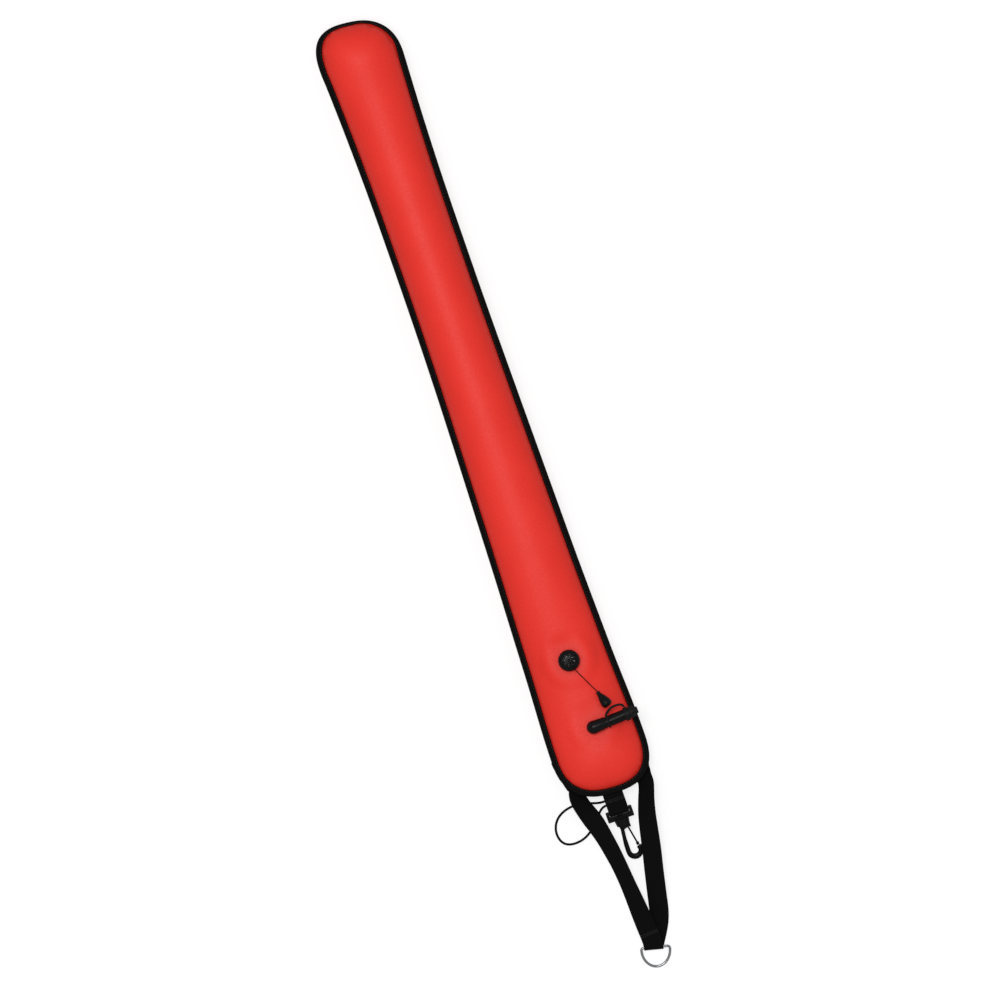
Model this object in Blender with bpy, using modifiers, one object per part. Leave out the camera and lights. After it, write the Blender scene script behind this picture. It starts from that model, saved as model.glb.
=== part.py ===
"""Surface marker buoy: an inflated, closed tube of coated nylon with its valves and bridle.

The buoy lies on its back on the ground, z = 0. +Y runs along the tube to its closed round head,
-Y to its foot with the bridle and the snap, and +X is to the right of someone who looks down on
the front panel. The origin is on the flat of the underside, at half the length of the tube.
Lengths are in metres, written as so many times MM.
"""
import math

import bmesh
import bpy
import numpy as np
from mathutils import Matrix, Vector

MM = 0.001
CLEAR = 0.3 * MM            # gap between pieces that touch

# Inflated tube
TUBE_LENGTH = 1019 * MM     # over the binding
HALF_GIRTH = 124 * MM       # one panel's width between the welds, laid flat
HEAD_HALF_WIDTH = 45.0 * MM
NECK_HALF_WIDTH = 40.2 * MM
WAIST_HALF_WIDTH = 39.2 * MM
BELLY_HALF_WIDTH = 44.3 * MM
FOOT_HALF_WIDTH = 50.4 * MM
HEAD_DEPTH = 49.7 * MM      # length of the rounded head, inside the weld
FOOT_DEPTH = 51.5 * MM
HEAD_ROUNDING = 2.6         # exponents of the two superellipse ends
FOOT_ROUNDING = 2.55
FLANGE = 8.3 * MM           # welded edge beside the chamber
HEAD_FLANGE = 5.0 * MM
FOOT_FLANGE = 8.1 * MM
FABRIC = 0.8 * MM
TAPE = 0.9 * MM
GROUND_FLAT_DEPTH = 1.4 * MM  # how far the round underside is pressed flat

# Webbing
WEBBING_WIDTH = 24.4 * MM
WEBBING = 1.6 * MM
TAIL_LOOP_OFFSET = -3.5 * MM

# D-ring
RING_WIRE_RADIUS = 1.6 * MM
RING_HALF_WIDTH = 17.9 * MM   # to the wire's centre line
RING_DEPTH = 24.4 * MM
RING_CORNER = 3.2 * MM
RING_PLACE = (-15.9 * MM, 199.0 * MM)   # x, and distance below the foot
RING_TURN = math.radians(-13.8)
RING_LOOP_SHIFT = -2.2 * MM    # the strap's place along the bar

# Swivel snap
SNAP_SLOPE = math.radians(15)
SNAP_BAR_DROP = 22.8 * MM     # bar below the foot
SNAP_BAR_RADIUS = 2.2 * MM
SNAP_FRAME_WIDTH = 34.0 * MM
SNAP_FRAME_THICK = 6.4 * MM
SNAP_WINDOW_WIDTH = 26.0 * MM
SNAP_WINDOW_DEPTH = 7.2 * MM
SNAP_CROSSBAR = 6.4 * MM
BARREL_RADIUS = 8.4 * MM
BARREL_LENGTH = 7.6 * MM
STEM_RADIUS = 2.6 * MM
STEM_HEAD_RADIUS = 4.0 * MM
STEM_HEAD = 2.0 * MM
STEM_RECESS = 2.0 * MM          # the head's seat below the window, in the crossbar
HOOK_COLLAR_RADIUS = 5.8 * MM
HOOK_COLLAR = 4.8 * MM
HOOK_THICK = 2.7 * MM         # half the hook's section across its plane
HOOK_WIDE = 2.5 * MM          # half the section in its plane
GATE_THICK = 1.0 * MM
GATE_HALF_DEPTH = 2.2 * MM
GATE_KNUCKLE = 1.5 * MM

# Bungee and pull cord
BUNGEE_RADIUS = 1.5 * MM
CORD_RADIUS = 0.7 * MM

# Dump valve, measured from the fabric's outer face
VALVE_PLACE = (-0.6 * MM, 175.1 * MM)    # x, and distance above the foot
VALVE_FLANGE_RADIUS = 15.0 * MM
VALVE_FLANGE = 1.4 * MM
VALVE_NECK_RADIUS = 9.2 * MM
VALVE_BORE_RADIUS = 6.0 * MM
VALVE_NECK_HEIGHT = 5.0 * MM
VALVE_CAP_RADIUS = 13.7 * MM
VALVE_CAP_WALL = 1.7 * MM
VALVE_CAP_HEIGHT = 13.2 * MM
VALVE_EYELET_RADIUS = 3.4 * MM
VALVE_EYELET_HEIGHT = 1.6 * MM
VALVE_VENTS = 8
VALVE_GRIPS = 16
POPPET_RADIUS = 8.4 * MM
POPPET = 1.2 * MM
POPPET_LIFT = 2.5 * MM
STEM_POPPET_RADIUS = 1.2 * MM
SEAL_THICK = 1.0 * MM

# Toggle
TOGGLE_PLACE = (19.9 * MM, 126.7 * MM)   # neck end: x, and distance above the foot
TOGGLE_TURN = math.radians(19.9)
TOGGLE_LENGTH = 22.6 * MM
TOGGLE_RADIUS = 6.8 * MM

# Oral inflator, measured along its tube from the corner of the elbow
INFLATOR_PLACE = (1.5 * MM, 86.4 * MM)   # x, and distance above the foot
INFLATOR_TURN = math.radians(3.0)
INFLATOR_HEIGHT = 9.2 * MM
INFLATOR_FLANGE_RADIUS = 13.0 * MM
INFLATOR_NECK_RADIUS = 6.0 * MM
INFLATOR_SPIGOT_RADIUS = 4.4 * MM
ELBOW_RADIUS = 6.8 * MM
ELBOW_BORE = 3.2 * MM
ELBOW_REACH = 21.5 * MM
INFLATOR_TUBE_RADIUS = 7.1 * MM
INFLATOR_TUBE_END = 45.0 * MM
TUBE_BORE = 4.9 * MM
TUBE_COUNTERBORE = 5.9 * MM
TUBE_SHOULDER = 37.5 * MM
MOUTHPIECE_END = 52.2 * MM
MOUTHPIECE_BORE = 3.1 * MM
MOUTHPIECE_TRAVEL = 4.0 * MM
CAP_RIM_RADIUS = 8.75 * MM
CAP_GRIP_RADIUS = 7.3 * MM
CAP_NUB_RADIUS = 4.4 * MM
CAP_START = 41.3 * MM
CAP_END = 59.0 * MM
CAP_GRIPS = 12
TETHER_RING_START = 17.6 * MM
TETHER_RING_WIDTH = 3.0 * MM
TETHER_RING_RADIUS = 8.2 * MM
TETHER_STRAP_RADIUS = 1.3 * MM

HEAD_Y = TUBE_LENGTH / 2
FOOT_Y = -TUBE_LENGTH / 2
HEAD_TIE = HEAD_Y - HEAD_FLANGE - HEAD_DEPTH     # ends of the straight crown line
FOOT_TIE = FOOT_Y + FOOT_FLANGE + FOOT_DEPTH
WELD = FABRIC + CLEAR / 2                        # from the weld's plane to the fabric's face
BINDING_HALF = WELD + CLEAR + TAPE               # half the binding's thickness
VALVE_XY = (VALVE_PLACE[0], FOOT_Y + VALVE_PLACE[1])
INFLATOR_XY = (INFLATOR_PLACE[0], FOOT_Y + INFLATOR_PLACE[1])

# Half-widths of the chamber, with their places from the head's tie (0) to the foot's (1)
SIDE_PLACES = (0.0, 0.15, 0.31, 0.70, 1.0)
SIDE_WIDTHS = (HEAD_HALF_WIDTH, NECK_HALF_WIDTH, WAIST_HALF_WIDTH, BELLY_HALF_WIDTH,
               FOOT_HALF_WIDTH)


def new_collection(name):
    """An empty collection, linked to the scene."""
    made = bpy.data.collections.new(name)
    bpy.context.scene.collection.children.link(made)
    return made


def new_material(name, colour, roughness, metallic=0.0):
    """A Principled material."""
    made = bpy.data.materials.new(name)
    made.use_nodes = True
    shader = made.node_tree.nodes["Principled BSDF"]
    shader.inputs["Base Color"].default_value = (*colour, 1.0)
    shader.inputs["Roughness"].default_value = roughness
    shader.inputs["Metallic"].default_value = metallic
    made.diffuse_color = (*colour, 1.0)
    return made


for old in list(bpy.data.objects):
    bpy.data.objects.remove(old, do_unlink=True)

PARTS = new_collection("surface_marker_buoy")
CUTTERS = new_collection("cutters")

RED_NYLON = new_material("coated_nylon_red", (0.80, 0.07, 0.045), 0.45)
BLACK_TAPE = new_material("binding_tape_black", (0.012, 0.011, 0.012), 0.8)
BLACK_WEBBING = new_material("webbing_black", (0.010, 0.009, 0.010), 0.85)
BLACK_CORD = new_material("cord_black", (0.012, 0.012, 0.013), 0.8)
BLACK_PLASTIC = new_material("moulded_plastic_black", (0.014, 0.014, 0.016), 0.35)
BLACK_RUBBER = new_material("rubber_black", (0.018, 0.018, 0.018), 0.6)
STAINLESS = new_material("stainless_steel", (0.62, 0.62, 0.63), 0.2, 1.0)


def place(obj, parent=None, location=(0, 0, 0), rotation=(0, 0, 0), cutter=False):
    """Puts an object in its collection, under its parent; a cutter is hidden."""
    for owner in list(obj.users_collection):
        owner.objects.unlink(obj)
    (CUTTERS if cutter else PARTS).objects.link(obj)
    obj.parent = parent
    obj.location = location
    obj.rotation_euler = rotation
    if cutter:
        obj.hide_render = True
        obj.display_type = "WIRE"
    return obj


def empty(name, location, rotation=(0, 0, 0), parent=None):
    """A frame to hang pieces on."""
    return place(bpy.data.objects.new(name, None), parent, location, rotation)


def mesh_object(name, mesh_data, material=None, smooth_angle=None):
    """An object round a bmesh, which is freed."""
    mesh = bpy.data.meshes.new(name)
    mesh_data.to_mesh(mesh)
    mesh_data.free()
    if material is not None:
        mesh.materials.append(material)
    if smooth_angle is not None:
        mesh.shade_smooth()
        mesh.set_sharp_from_angle(angle=math.radians(smooth_angle))
    return bpy.data.objects.new(name, mesh)


def turned(name, profile, material=None, steps=32):
    """A profile of (radius, z) points, turned about Z. A closed ring repeats its first point."""
    shape = bmesh.new()
    closed = profile[0] == profile[-1]
    points = profile[:-1] if closed else profile
    verts = [shape.verts.new((radius, 0, z)) for radius, z in points]
    pairs = list(zip(verts, verts[1:]))
    if closed:
        pairs.append((verts[-1], verts[0]))
    for pair in pairs:
        shape.edges.new(pair)
    obj = mesh_object(name, shape, material)
    screw = obj.modifiers.new("turn", "SCREW")
    screw.steps = screw.render_steps = steps
    screw.use_merge_vertices = True
    screw.merge_threshold = 0.00001
    screw.use_smooth_shade = False
    return obj


def box(name, size, centre=(0, 0, 0), material=None, bevel=0.0):
    """A block of the given size, with rounded edges where a bevel is given."""
    shape = bmesh.new()
    bmesh.ops.create_cube(shape, size=1)
    bmesh.ops.scale(shape, vec=size, verts=shape.verts)
    bmesh.ops.translate(shape, vec=centre, verts=shape.verts)
    obj = mesh_object(name, shape, material)
    if bevel:
        rounding = obj.modifiers.new("rounding", "BEVEL")
        rounding.width = bevel
        rounding.segments = 2
    return obj


def rod(name, radius, start, end, material=None, sides=20, end_radius=None):
    """A cylinder or cone between two points."""
    start, end = Vector(start), Vector(end)
    along = end - start
    shape = bmesh.new()
    bmesh.ops.create_cone(shape, cap_ends=True, segments=sides, radius1=radius,
                          radius2=radius if end_radius is None else end_radius,
                          depth=along.length)
    turn = Vector((0, 0, 1)).rotation_difference(along).to_matrix().to_4x4()
    bmesh.ops.transform(shape, matrix=Matrix.Translation((start + end) / 2) @ turn,
                        verts=shape.verts)
    return mesh_object(name, shape, material)


def boolean(obj, other, operation="DIFFERENCE"):
    """An exact Boolean with another object, which is kept as a cutter."""
    step = obj.modifiers.new(operation.lower(), "BOOLEAN")
    step.operation = operation
    step.object = other
    step.solver = "EXACT"


def smooth_path(points, per_span):
    """Catmull-Rom points through the given points, a fixed number to each span."""
    points = [np.array(p, float) for p in points]
    points = [2 * points[0] - points[1], *points, 2 * points[-1] - points[-2]]
    made = []
    for before, start, end, after in zip(points, points[1:], points[2:], points[3:]):
        for step in range(per_span):
            t = step / per_span
            made.append(0.5 * (2 * start + (end - before) * t
                               + (2 * before - 5 * start + 4 * end - after) * t * t
                               + (3 * start - before - 3 * end + after) * t ** 3))
    made.append(points[-2])
    return made


def even_path(points, spacing):
    """The same smooth line, read at points an equal distance apart."""
    fine = np.array(smooth_path(points, 24))
    run = np.concatenate([[0], np.cumsum(np.linalg.norm(np.diff(fine, axis=0), axis=1))])
    count = max(2, round(run[-1] / spacing))
    places = np.linspace(0, run[-1], count + 1)
    return [np.array([np.interp(p, run, fine[:, axis]) for axis in range(3)]) for p in places]


def wire(name, points, radius, material, closed=False, resolution=2):
    """A round wire or cord along a line of points, as a bevelled curve."""
    curve = bpy.data.curves.new(name, "CURVE")
    curve.dimensions = "3D"
    curve.bevel_depth = radius
    curve.bevel_resolution = resolution
    curve.use_fill_caps = not closed
    spline = curve.splines.new("POLY")
    spline.points.add(len(points) - 1)
    for point, target in zip(points, spline.points):
        target.co = (*point, 1)
    spline.use_cyclic_u = closed
    curve.materials.append(material)
    return bpy.data.objects.new(name, curve)


def flat_shape(name, outline, half_thick, material=None, bevel=0.0):
    """A closed outline in the XY plane, extruded to both sides, as a mesh."""
    curve = bpy.data.curves.new(name + "_outline", "CURVE")
    curve.dimensions = "2D"
    curve.fill_mode = "BOTH"
    curve.extrude = half_thick - bevel
    curve.bevel_depth = bevel
    curve.bevel_resolution = 1
    curve.offset = -bevel
    spline = curve.splines.new("POLY")
    spline.points.add(len(outline) - 1)
    for (x, y), target in zip(outline, spline.points):
        target.co = (x, y, 0, 1)
    spline.use_cyclic_u = True
    guide = bpy.data.objects.new(name + "_outline", curve)
    bpy.context.scene.collection.objects.link(guide)
    evaluated = guide.evaluated_get(bpy.context.evaluated_depsgraph_get())
    mesh = bpy.data.meshes.new_from_object(evaluated)
    bpy.data.objects.remove(guide)
    shape = bmesh.new()
    shape.from_mesh(mesh)
    bmesh.ops.remove_doubles(shape, verts=shape.verts, dist=0.000001)
    bmesh.ops.recalc_face_normals(shape, faces=shape.faces)
    return mesh_object(name, shape, material)


def arc(centre, radius, start, end, steps):
    """Points on a circle, angles in degrees, both ends included."""
    angles = np.radians(np.linspace(start, end, steps + 1))
    return [(centre[0] + radius * math.cos(a), centre[1] + radius * math.sin(a)) for a in angles]


def webbing(name, path, across, width, material, thickness=WEBBING):
    """A flat strap swept along a path; across holds the direction of its width at each point."""
    shape = bmesh.new()
    rings = []
    for i, centre in enumerate(path):
        ahead = path[min(i + 1, len(path) - 1)] - path[max(i - 1, 0)]
        side = np.array(across[i], float)
        side -= ahead * side.dot(ahead) / ahead.dot(ahead)
        side /= np.linalg.norm(side)
        up = np.cross(ahead, side)
        up /= np.linalg.norm(up)
        corners = [(-1, -1), (1, -1), (1, 1), (-1, 1)]
        rings.append([shape.verts.new(centre + side * a * width / 2 + up * b * thickness / 2)
                      for a, b in corners])
    for ring, after in zip(rings, rings[1:]):
        for k in range(4):
            shape.faces.new((ring[k], ring[(k + 1) % 4], after[(k + 1) % 4], after[k]))
    shape.faces.new(rings[0][::-1])
    shape.faces.new(rings[-1])
    bmesh.ops.recalc_face_normals(shape, faces=shape.faces)
    return mesh_object(name, shape, material)


# The inflated tube's shape

def half_width(y):
    """Half the chamber's width between the head's tie and the foot's."""
    place_along = (HEAD_TIE - y) / (HEAD_TIE - FOOT_TIE)
    slopes = np.gradient(SIDE_WIDTHS, SIDE_PLACES)
    slopes[0] *= 1.4
    slopes[-1] = 0.0
    i = min(max(int(np.searchsorted(SIDE_PLACES, place_along)) - 1, 0), len(SIDE_PLACES) - 2)
    span = SIDE_PLACES[i + 1] - SIDE_PLACES[i]
    t = (place_along - SIDE_PLACES[i]) / span
    return ((2 * t ** 3 - 3 * t ** 2 + 1) * SIDE_WIDTHS[i]
            + (t ** 3 - 2 * t ** 2 + t) * span * slopes[i]
            + (3 * t ** 2 - 2 * t ** 3) * SIDE_WIDTHS[i + 1]
            + (t ** 3 - t ** 2) * span * slopes[i + 1])


def crown(width):
    """Height of the crown over the weld: the ellipse whose half girth is the panel's width."""
    low, high = 0.0, HALF_GIRTH
    for _ in range(40):
        height = (low + high) / 2
        girth = math.pi * (3 * (width + height)
                           - math.sqrt((3 * width + height) * (width + 3 * height))) / 2
        if girth < HALF_GIRTH:
            low = height
        else:
            high = height
    return low


def spine_y(y):
    """The nearest place on the crown line."""
    return min(max(y, FOOT_TIE), HEAD_TIE)


def weld_z(y):
    """Height of the weld's plane: the tube rests on the ground all along its underside."""
    return WELD + crown(half_width(spine_y(y))) - GROUND_FLAT_DEPTH


def end_rounding(y):
    """Depth and exponent of the rounded end that holds this place, or None between them."""
    if y > HEAD_TIE:
        return HEAD_DEPTH, HEAD_ROUNDING, HEAD_FLANGE
    if y < FOOT_TIE:
        return FOOT_DEPTH, FOOT_ROUNDING, FOOT_FLANGE
    return None


def out_fraction(x, y):
    """0 on the crown line, 1 on the weld."""
    y_near = spine_y(y)
    width = half_width(y_near)
    end = end_rounding(y)
    if end is None:
        return abs(x) / width
    depth, power, _ = end
    return (abs(x / width) ** power + abs((y - y_near) / depth) ** power) ** (1 / power)


def dome(x, y):
    """Height of the skin over the weld."""
    return crown(half_width(spine_y(y))) * math.sqrt(max(0.0, 1 - out_fraction(x, y) ** 2))


def seat_height(centre, sink):
    """Height of the flat that a valve's flange pulls the front panel to."""
    x, y = centre
    return weld_z(y) + WELD + dome(x, y) - sink


VALVE_SINK = 0.7 * MM
INFLATOR_SINK = 0.5 * MM
VALVE_SEAT = seat_height(VALVE_XY, VALVE_SINK)
INFLATOR_SEAT = seat_height(INFLATOR_XY, INFLATOR_SINK)
SEATS = ((VALVE_XY, VALVE_SEAT, VALVE_FLANGE_RADIUS),
         (INFLATOR_XY, INFLATOR_SEAT, INFLATOR_FLANGE_RADIUS))
SEAT_MARGIN = 4.5 * MM      # flat past the flange
SEAT_BLEND = 9 * MM         # and from there back to the dome


def front_z(x, y):
    """Outer face of the front panel, flat round each valve."""
    z = weld_z(y) + WELD + dome(x, y)
    for (seat_x, seat_y), seat_z, radius in SEATS:
        away = math.hypot(x - seat_x, y - seat_y) - radius - SEAT_MARGIN
        t = min(max(away / SEAT_BLEND, 0.0), 1.0)
        z += (seat_z - z) * (1 - t * t * (3 - 2 * t))
    return z


def back_z(x, y):
    """Outer face of the back panel, flat on the ground."""
    return max(0.0, weld_z(y) - WELD - dome(x, y))


def outline_half():
    """Plan points of the right half, head to foot: (tie, weld point, outer edge)."""
    found = []

    def end(tie, depth, power, flange, width, sign, steps):
        made = []
        for k in range(steps):
            angle = math.pi / 2 * k / steps
            across = math.sin(angle) ** (2 / power)
            along = math.cos(angle) ** (2 / power)
            made.append((Vector((0, tie)),
                         Vector((width * across, tie + sign * depth * along)),
                         Vector(((width + FLANGE) * across,
                                 tie + sign * (depth + flange) * along))))
        return made

    found += end(HEAD_TIE, HEAD_DEPTH, HEAD_ROUNDING, HEAD_FLANGE, half_width(HEAD_TIE), 1, 8)
    near_valves = VALVE_XY[1] + VALVE_FLANGE_RADIUS + SEAT_MARGIN + SEAT_BLEND
    stations = np.concatenate([np.linspace(HEAD_TIE, near_valves, 14)[:-1],
                               np.linspace(near_valves, FOOT_TIE, 10)])
    for y in stations:
        width = half_width(y)
        found.append((Vector((0, y)), Vector((width, y)), Vector((width + FLANGE, y))))
    foot = end(FOOT_TIE, FOOT_DEPTH, FOOT_ROUNDING, FOOT_FLANGE, half_width(FOOT_TIE), -1, 8)
    return found + foot[::-1]


def outline():
    """The whole outline, clockwise from the head's tip as seen from above."""
    right = outline_half()
    left = [tuple(Vector((-p.x, p.y)) for p in points) for points in right[1:-1]]
    return right + left[::-1]


OUTLINE = outline()
RIM_INSET = TAPE + CLEAR + 0.5 * MM     # the fabric stops short of the binding's fold
CROWN_STEPS = (0.0, 12, 26, 40, 53, 65, 75, 83, 90)   # degrees from the weld to the crown


def panel(name, height, front):
    """One panel: a shell with its flat welded edge, from the rim to the crown line."""
    shape = bmesh.new()
    count = len(OUTLINE)
    edge_sign = 1 if front else -1
    rings = []
    rim = []
    for tie, weld, edge in OUTLINE:
        inward = (weld - edge).normalized()
        point = edge + inward * RIM_INSET
        rim.append(shape.verts.new((point.x, point.y, weld_z(weld.y) + edge_sign * WELD)))
    rings.append(rim)
    for degrees in CROWN_STEPS:
        ring = []
        for tie, weld, edge in OUTLINE:
            point = tie + (weld - tie) * math.cos(math.radians(degrees))
            z = height(point.x, point.y) if degrees else weld_z(weld.y) + edge_sign * WELD
            ring.append(shape.verts.new((point.x, point.y, z)))
        rings.append(ring)
    for outer, inner in zip(rings, rings[1:]):
        for k in range(count):
            after = (k + 1) % count
            shape.faces.new((outer[k], outer[after], inner[after], inner[k]))
    bmesh.ops.remove_doubles(shape, verts=shape.verts, dist=0.00002)
    bmesh.ops.dissolve_degenerate(shape, edges=shape.edges, dist=0.00001)
    bmesh.ops.recalc_face_normals(shape, faces=shape.faces)
    top = max(shape.faces, key=lambda face: edge_sign * face.calc_center_median().z)
    if top.normal.z * edge_sign < 0:
        bmesh.ops.reverse_faces(shape, faces=shape.faces)
    if front:
        refine_seats(shape)
    obj = mesh_object(name, shape, RED_NYLON, 40)
    wall = obj.modifiers.new("wall", "SOLIDIFY")
    wall.thickness = FABRIC
    wall.offset = -1
    wall.use_even_offset = True
    return place(obj)


def refine_seats(shape):
    """Splits the faces round each valve, so that the seats come out flat."""
    def near(vert):
        return any(math.hypot(vert.co.x - x, vert.co.y - y) < radius + SEAT_MARGIN + SEAT_BLEND
                   for (x, y), _, radius in SEATS)

    edges = [edge for edge in shape.edges if any(near(vert) for vert in edge.verts)]
    bmesh.ops.subdivide_edges(shape, edges=edges, cuts=2, use_grid_fill=True)
    for vert in shape.verts:
        if near(vert):
            vert.co.z = front_z(vert.co.x, vert.co.y)


def edge_binding():
    """Tape folded over the welded edge, all the way round."""
    shape = bmesh.new()
    inside = BINDING_HALF - TAPE
    reach = 0.95        # share of the flange that the tape covers
    fold = 1.0 * MM
    section = [(reach, BINDING_HALF), (fold, BINDING_HALF), (0.0, BINDING_HALF * 0.45),
               (0.0, -BINDING_HALF * 0.45), (fold, -BINDING_HALF), (reach, -BINDING_HALF),
               (reach, -inside), (TAPE + 0.2 * MM, -inside), (TAPE + 0.2 * MM, inside),
               (reach, inside)]
    rings = []
    for _, weld, edge in OUTLINE:
        inward = weld - edge
        z = weld_z(weld.y)
        ring = []
        for depth, height in section:
            move = inward * depth if depth == reach else inward.normalized() * depth
            point = edge + move
            ring.append(shape.verts.new((point.x, point.y, z + height)))
        rings.append(ring)
    for k, ring in enumerate(rings):
        after = rings[(k + 1) % len(rings)]
        for j in range(len(section)):
            n = (j + 1) % len(section)
            shape.faces.new((ring[j], ring[n], after[n], after[j]))
    bmesh.ops.recalc_face_normals(shape, faces=shape.faces)
    return place(mesh_object("edge_binding", shape, BLACK_TAPE, 50))


front_panel = panel("front_panel", front_z, True)
back_panel = panel("back_panel", back_z, False)
edge_binding()
for (hole_x, hole_y), seat, neck in ((VALVE_XY, VALVE_SEAT, VALVE_NECK_RADIUS),
                                     (INFLATOR_XY, INFLATOR_SEAT, INFLATOR_NECK_RADIUS)):
    hole = rod("valve_hole", neck + CLEAR, (hole_x, hole_y, seat - 6 * MM),
               (hole_x, hole_y, seat + 6 * MM), sides=32)
    boolean(front_panel, place(hole, cutter=True))


# Bridle strap and D-ring

def rim_x(y):
    """Half-width over the binding."""
    end = end_rounding(y)
    width = half_width(spine_y(y)) + FLANGE
    if end is None:
        return width
    depth, power, flange = end
    share = min(abs((y - spine_y(y)) / (depth + flange)), 1.0)
    return width * (1 - share ** power) ** (1 / power)


def under_z(x, y):
    """Underside of whatever is over this place: the back panel or the binding."""
    if out_fraction(x, y) < 1:
        return back_z(x, y)
    if abs(x) < rim_x(y) + 0.5 * MM:
        return weld_z(y) - BINDING_HALF
    return math.inf


def rest_under(x, y, slope):
    """Height of a strap's centre that lies against the buoy's back, rolled to the slope."""
    samples = np.linspace(-0.5, 0.5, 25) * WEBBING_WIDTH * math.cos(math.atan(slope))
    free = min(under_z(x + s, y + near) - slope * s
               for s in samples for near in (-3 * MM, 0, 3 * MM))
    return free - (CLEAR + WEBBING / 2) * math.hypot(1, slope)


RING_AXIS_Z = 2 * CLEAR + WEBBING + RING_WIRE_RADIUS
RING_XY = (RING_PLACE[0], FOOT_Y - RING_PLACE[1])
LOOP_RADIUS = RING_WIRE_RADIUS + CLEAR + WEBBING / 2

# Each leg from its sewn end down to the ring: x, distance below the foot, height, and roll in
# degrees, outer edge up. Where the height is None, the strap lies against the buoy's back
LEFT_LEG = ((-51.5, -62, None, 35), (-50.5, -48, None, 34), (-47.6, -32, None, 33),
            (-45.8, -17, None, 31), (-45.6, -8, 21.7, 29), (-44.7, 1, 21.9, 25),
            (-42.3, 10, 21.7, 18), (-38.3, 22, 21.6, 2), (-35.0, 33, 21.3, -14),
            (-31.1, 50, 20.6, -27), (-27.9, 68, 19.0, -32), (-25.3, 86, 16.8, -37),
            (-23.6, 102, 14.6, -38), (-22.2, 118, 12.6, -36), (-20.8, 136, 10.4, -29),
            (-19.7, 154, 8.0, -20), (-18.5, 170, 6.2, -9), (-17.6, 182, 5.2, -2),
            (-17.3, 191, 5.3, 0))
RIGHT_LEG = ((46.8, -62, None, 33), (45.6, -48, None, 32), (43.8, -32, None, 32),
             (41.8, -17, None, 34), (41.2, -8, 21.0, 36), (40.6, 1, 20.8, 37),
             (38.0, 9, 20.9, 38), (33.7, 21, 21.2, 34), (28.7, 38, 22.0, 26), (24.4, 58, 21.8, 17),
             (20.1, 80, 20.0, 12), (14.0, 107, 15.2, 10), (8.2, 134, 9.4, 8),
             (3.5, 156, 4.6, 5), (-1.4, 170, 2.4, 2), (-7.9, 182, 1.1, 0), (-13.9, 191.5, 1.1, 0))


def leg_path(leg):
    """Smooth centres and width directions of one leg."""
    per_span = 3
    rows = []
    for x, below, height, roll in leg:
        slope = math.tan(math.radians(roll)) * math.copysign(1, x)
        y = FOOT_Y - below * MM
        z = rest_under(x * MM, y, slope) if height is None else height * MM
        rows.append((x * MM, y, z, math.atan(slope)))
    fine = np.array(smooth_path(rows, per_span))
    resting = sum(height is None for _, _, height, _ in leg)
    for row in fine[:(resting - 1) * per_span + 1]:
        row[2] = rest_under(row[0], row[1], math.tan(row[3]))
    path = list(fine[:, :3])
    across = []
    for i, roll in enumerate(fine[:, 3]):
        ahead = path[min(i + 1, len(path) - 1)] - path[max(i - 1, 0)]
        heading = ahead[:2] / np.linalg.norm(ahead[:2])
        right = np.array([-heading[1], heading[0]])
        right *= math.copysign(1, right[0])
        across.append(np.array([*(right * math.cos(roll)), math.sin(roll)]))
    return path, across


def bridle_strap():
    """One strap: down the left leg, round the ring's bar, and up the right leg."""
    left_path, left_across = leg_path(LEFT_LEG)
    right_path, right_across = leg_path(RIGHT_LEG)
    bar = np.array([math.cos(RING_TURN), math.sin(RING_TURN), 0])
    out = np.array([math.sin(RING_TURN), -math.cos(RING_TURN), 0])
    centre = np.array([*RING_XY, RING_AXIS_Z])
    centre = centre + bar * RING_LOOP_SHIFT
    fold = [centre + LOOP_RADIUS * (out * math.cos(a) + np.array([0, 0, math.sin(a)]))
            for a in np.radians(np.linspace(90, -90, 11))]
    path = left_path + fold + right_path[::-1]
    across = left_across + [bar] * len(fold) + right_across[::-1]
    return place(webbing("bridle_strap", path, across, WEBBING_WIDTH, BLACK_WEBBING))


def ring_line():
    """Centre line of the D-ring in its own frame: the bar on X, the bow towards -Y."""
    corner = (RING_HALF_WIDTH - RING_CORNER, -RING_CORNER)
    right = [(0.0, 0.0)] + arc(corner, RING_CORNER, 90, 0, 4)
    bow_depth = RING_DEPTH - RING_CORNER
    angles = np.radians(np.linspace(0, -90, 9))[1:]
    right += [(RING_HALF_WIDTH * math.cos(a), -RING_CORNER + bow_depth * math.sin(a))
              for a in angles]
    left = [(-x, y) for x, y in right[1:-1]]
    return [(x, y, 0.0) for x, y in right + left[::-1]]


bridle_strap()
RING_TILT = math.asin((RING_AXIS_Z - RING_WIRE_RADIUS - CLEAR) / RING_DEPTH)
ring_frame = empty("d_ring_axis", (*RING_XY, RING_AXIS_Z), (RING_TILT, 0, RING_TURN))
place(wire("d_ring", ring_line(), RING_WIRE_RADIUS, STAINLESS, closed=True), ring_frame)


# Swivel snap on its tail loop. Its own frame has the bar on X and the hook towards -Y

WINDOW_LOW = -(SNAP_WINDOW_DEPTH - SNAP_BAR_RADIUS)
FRAME_LOW = WINDOW_LOW - SNAP_CROSSBAR
BARREL_LOW = FRAME_LOW - BARREL_LENGTH
COLLAR_TOP = BARREL_LOW - CLEAR
COLLAR_LOW = COLLAR_TOP - HOOK_COLLAR
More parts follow.
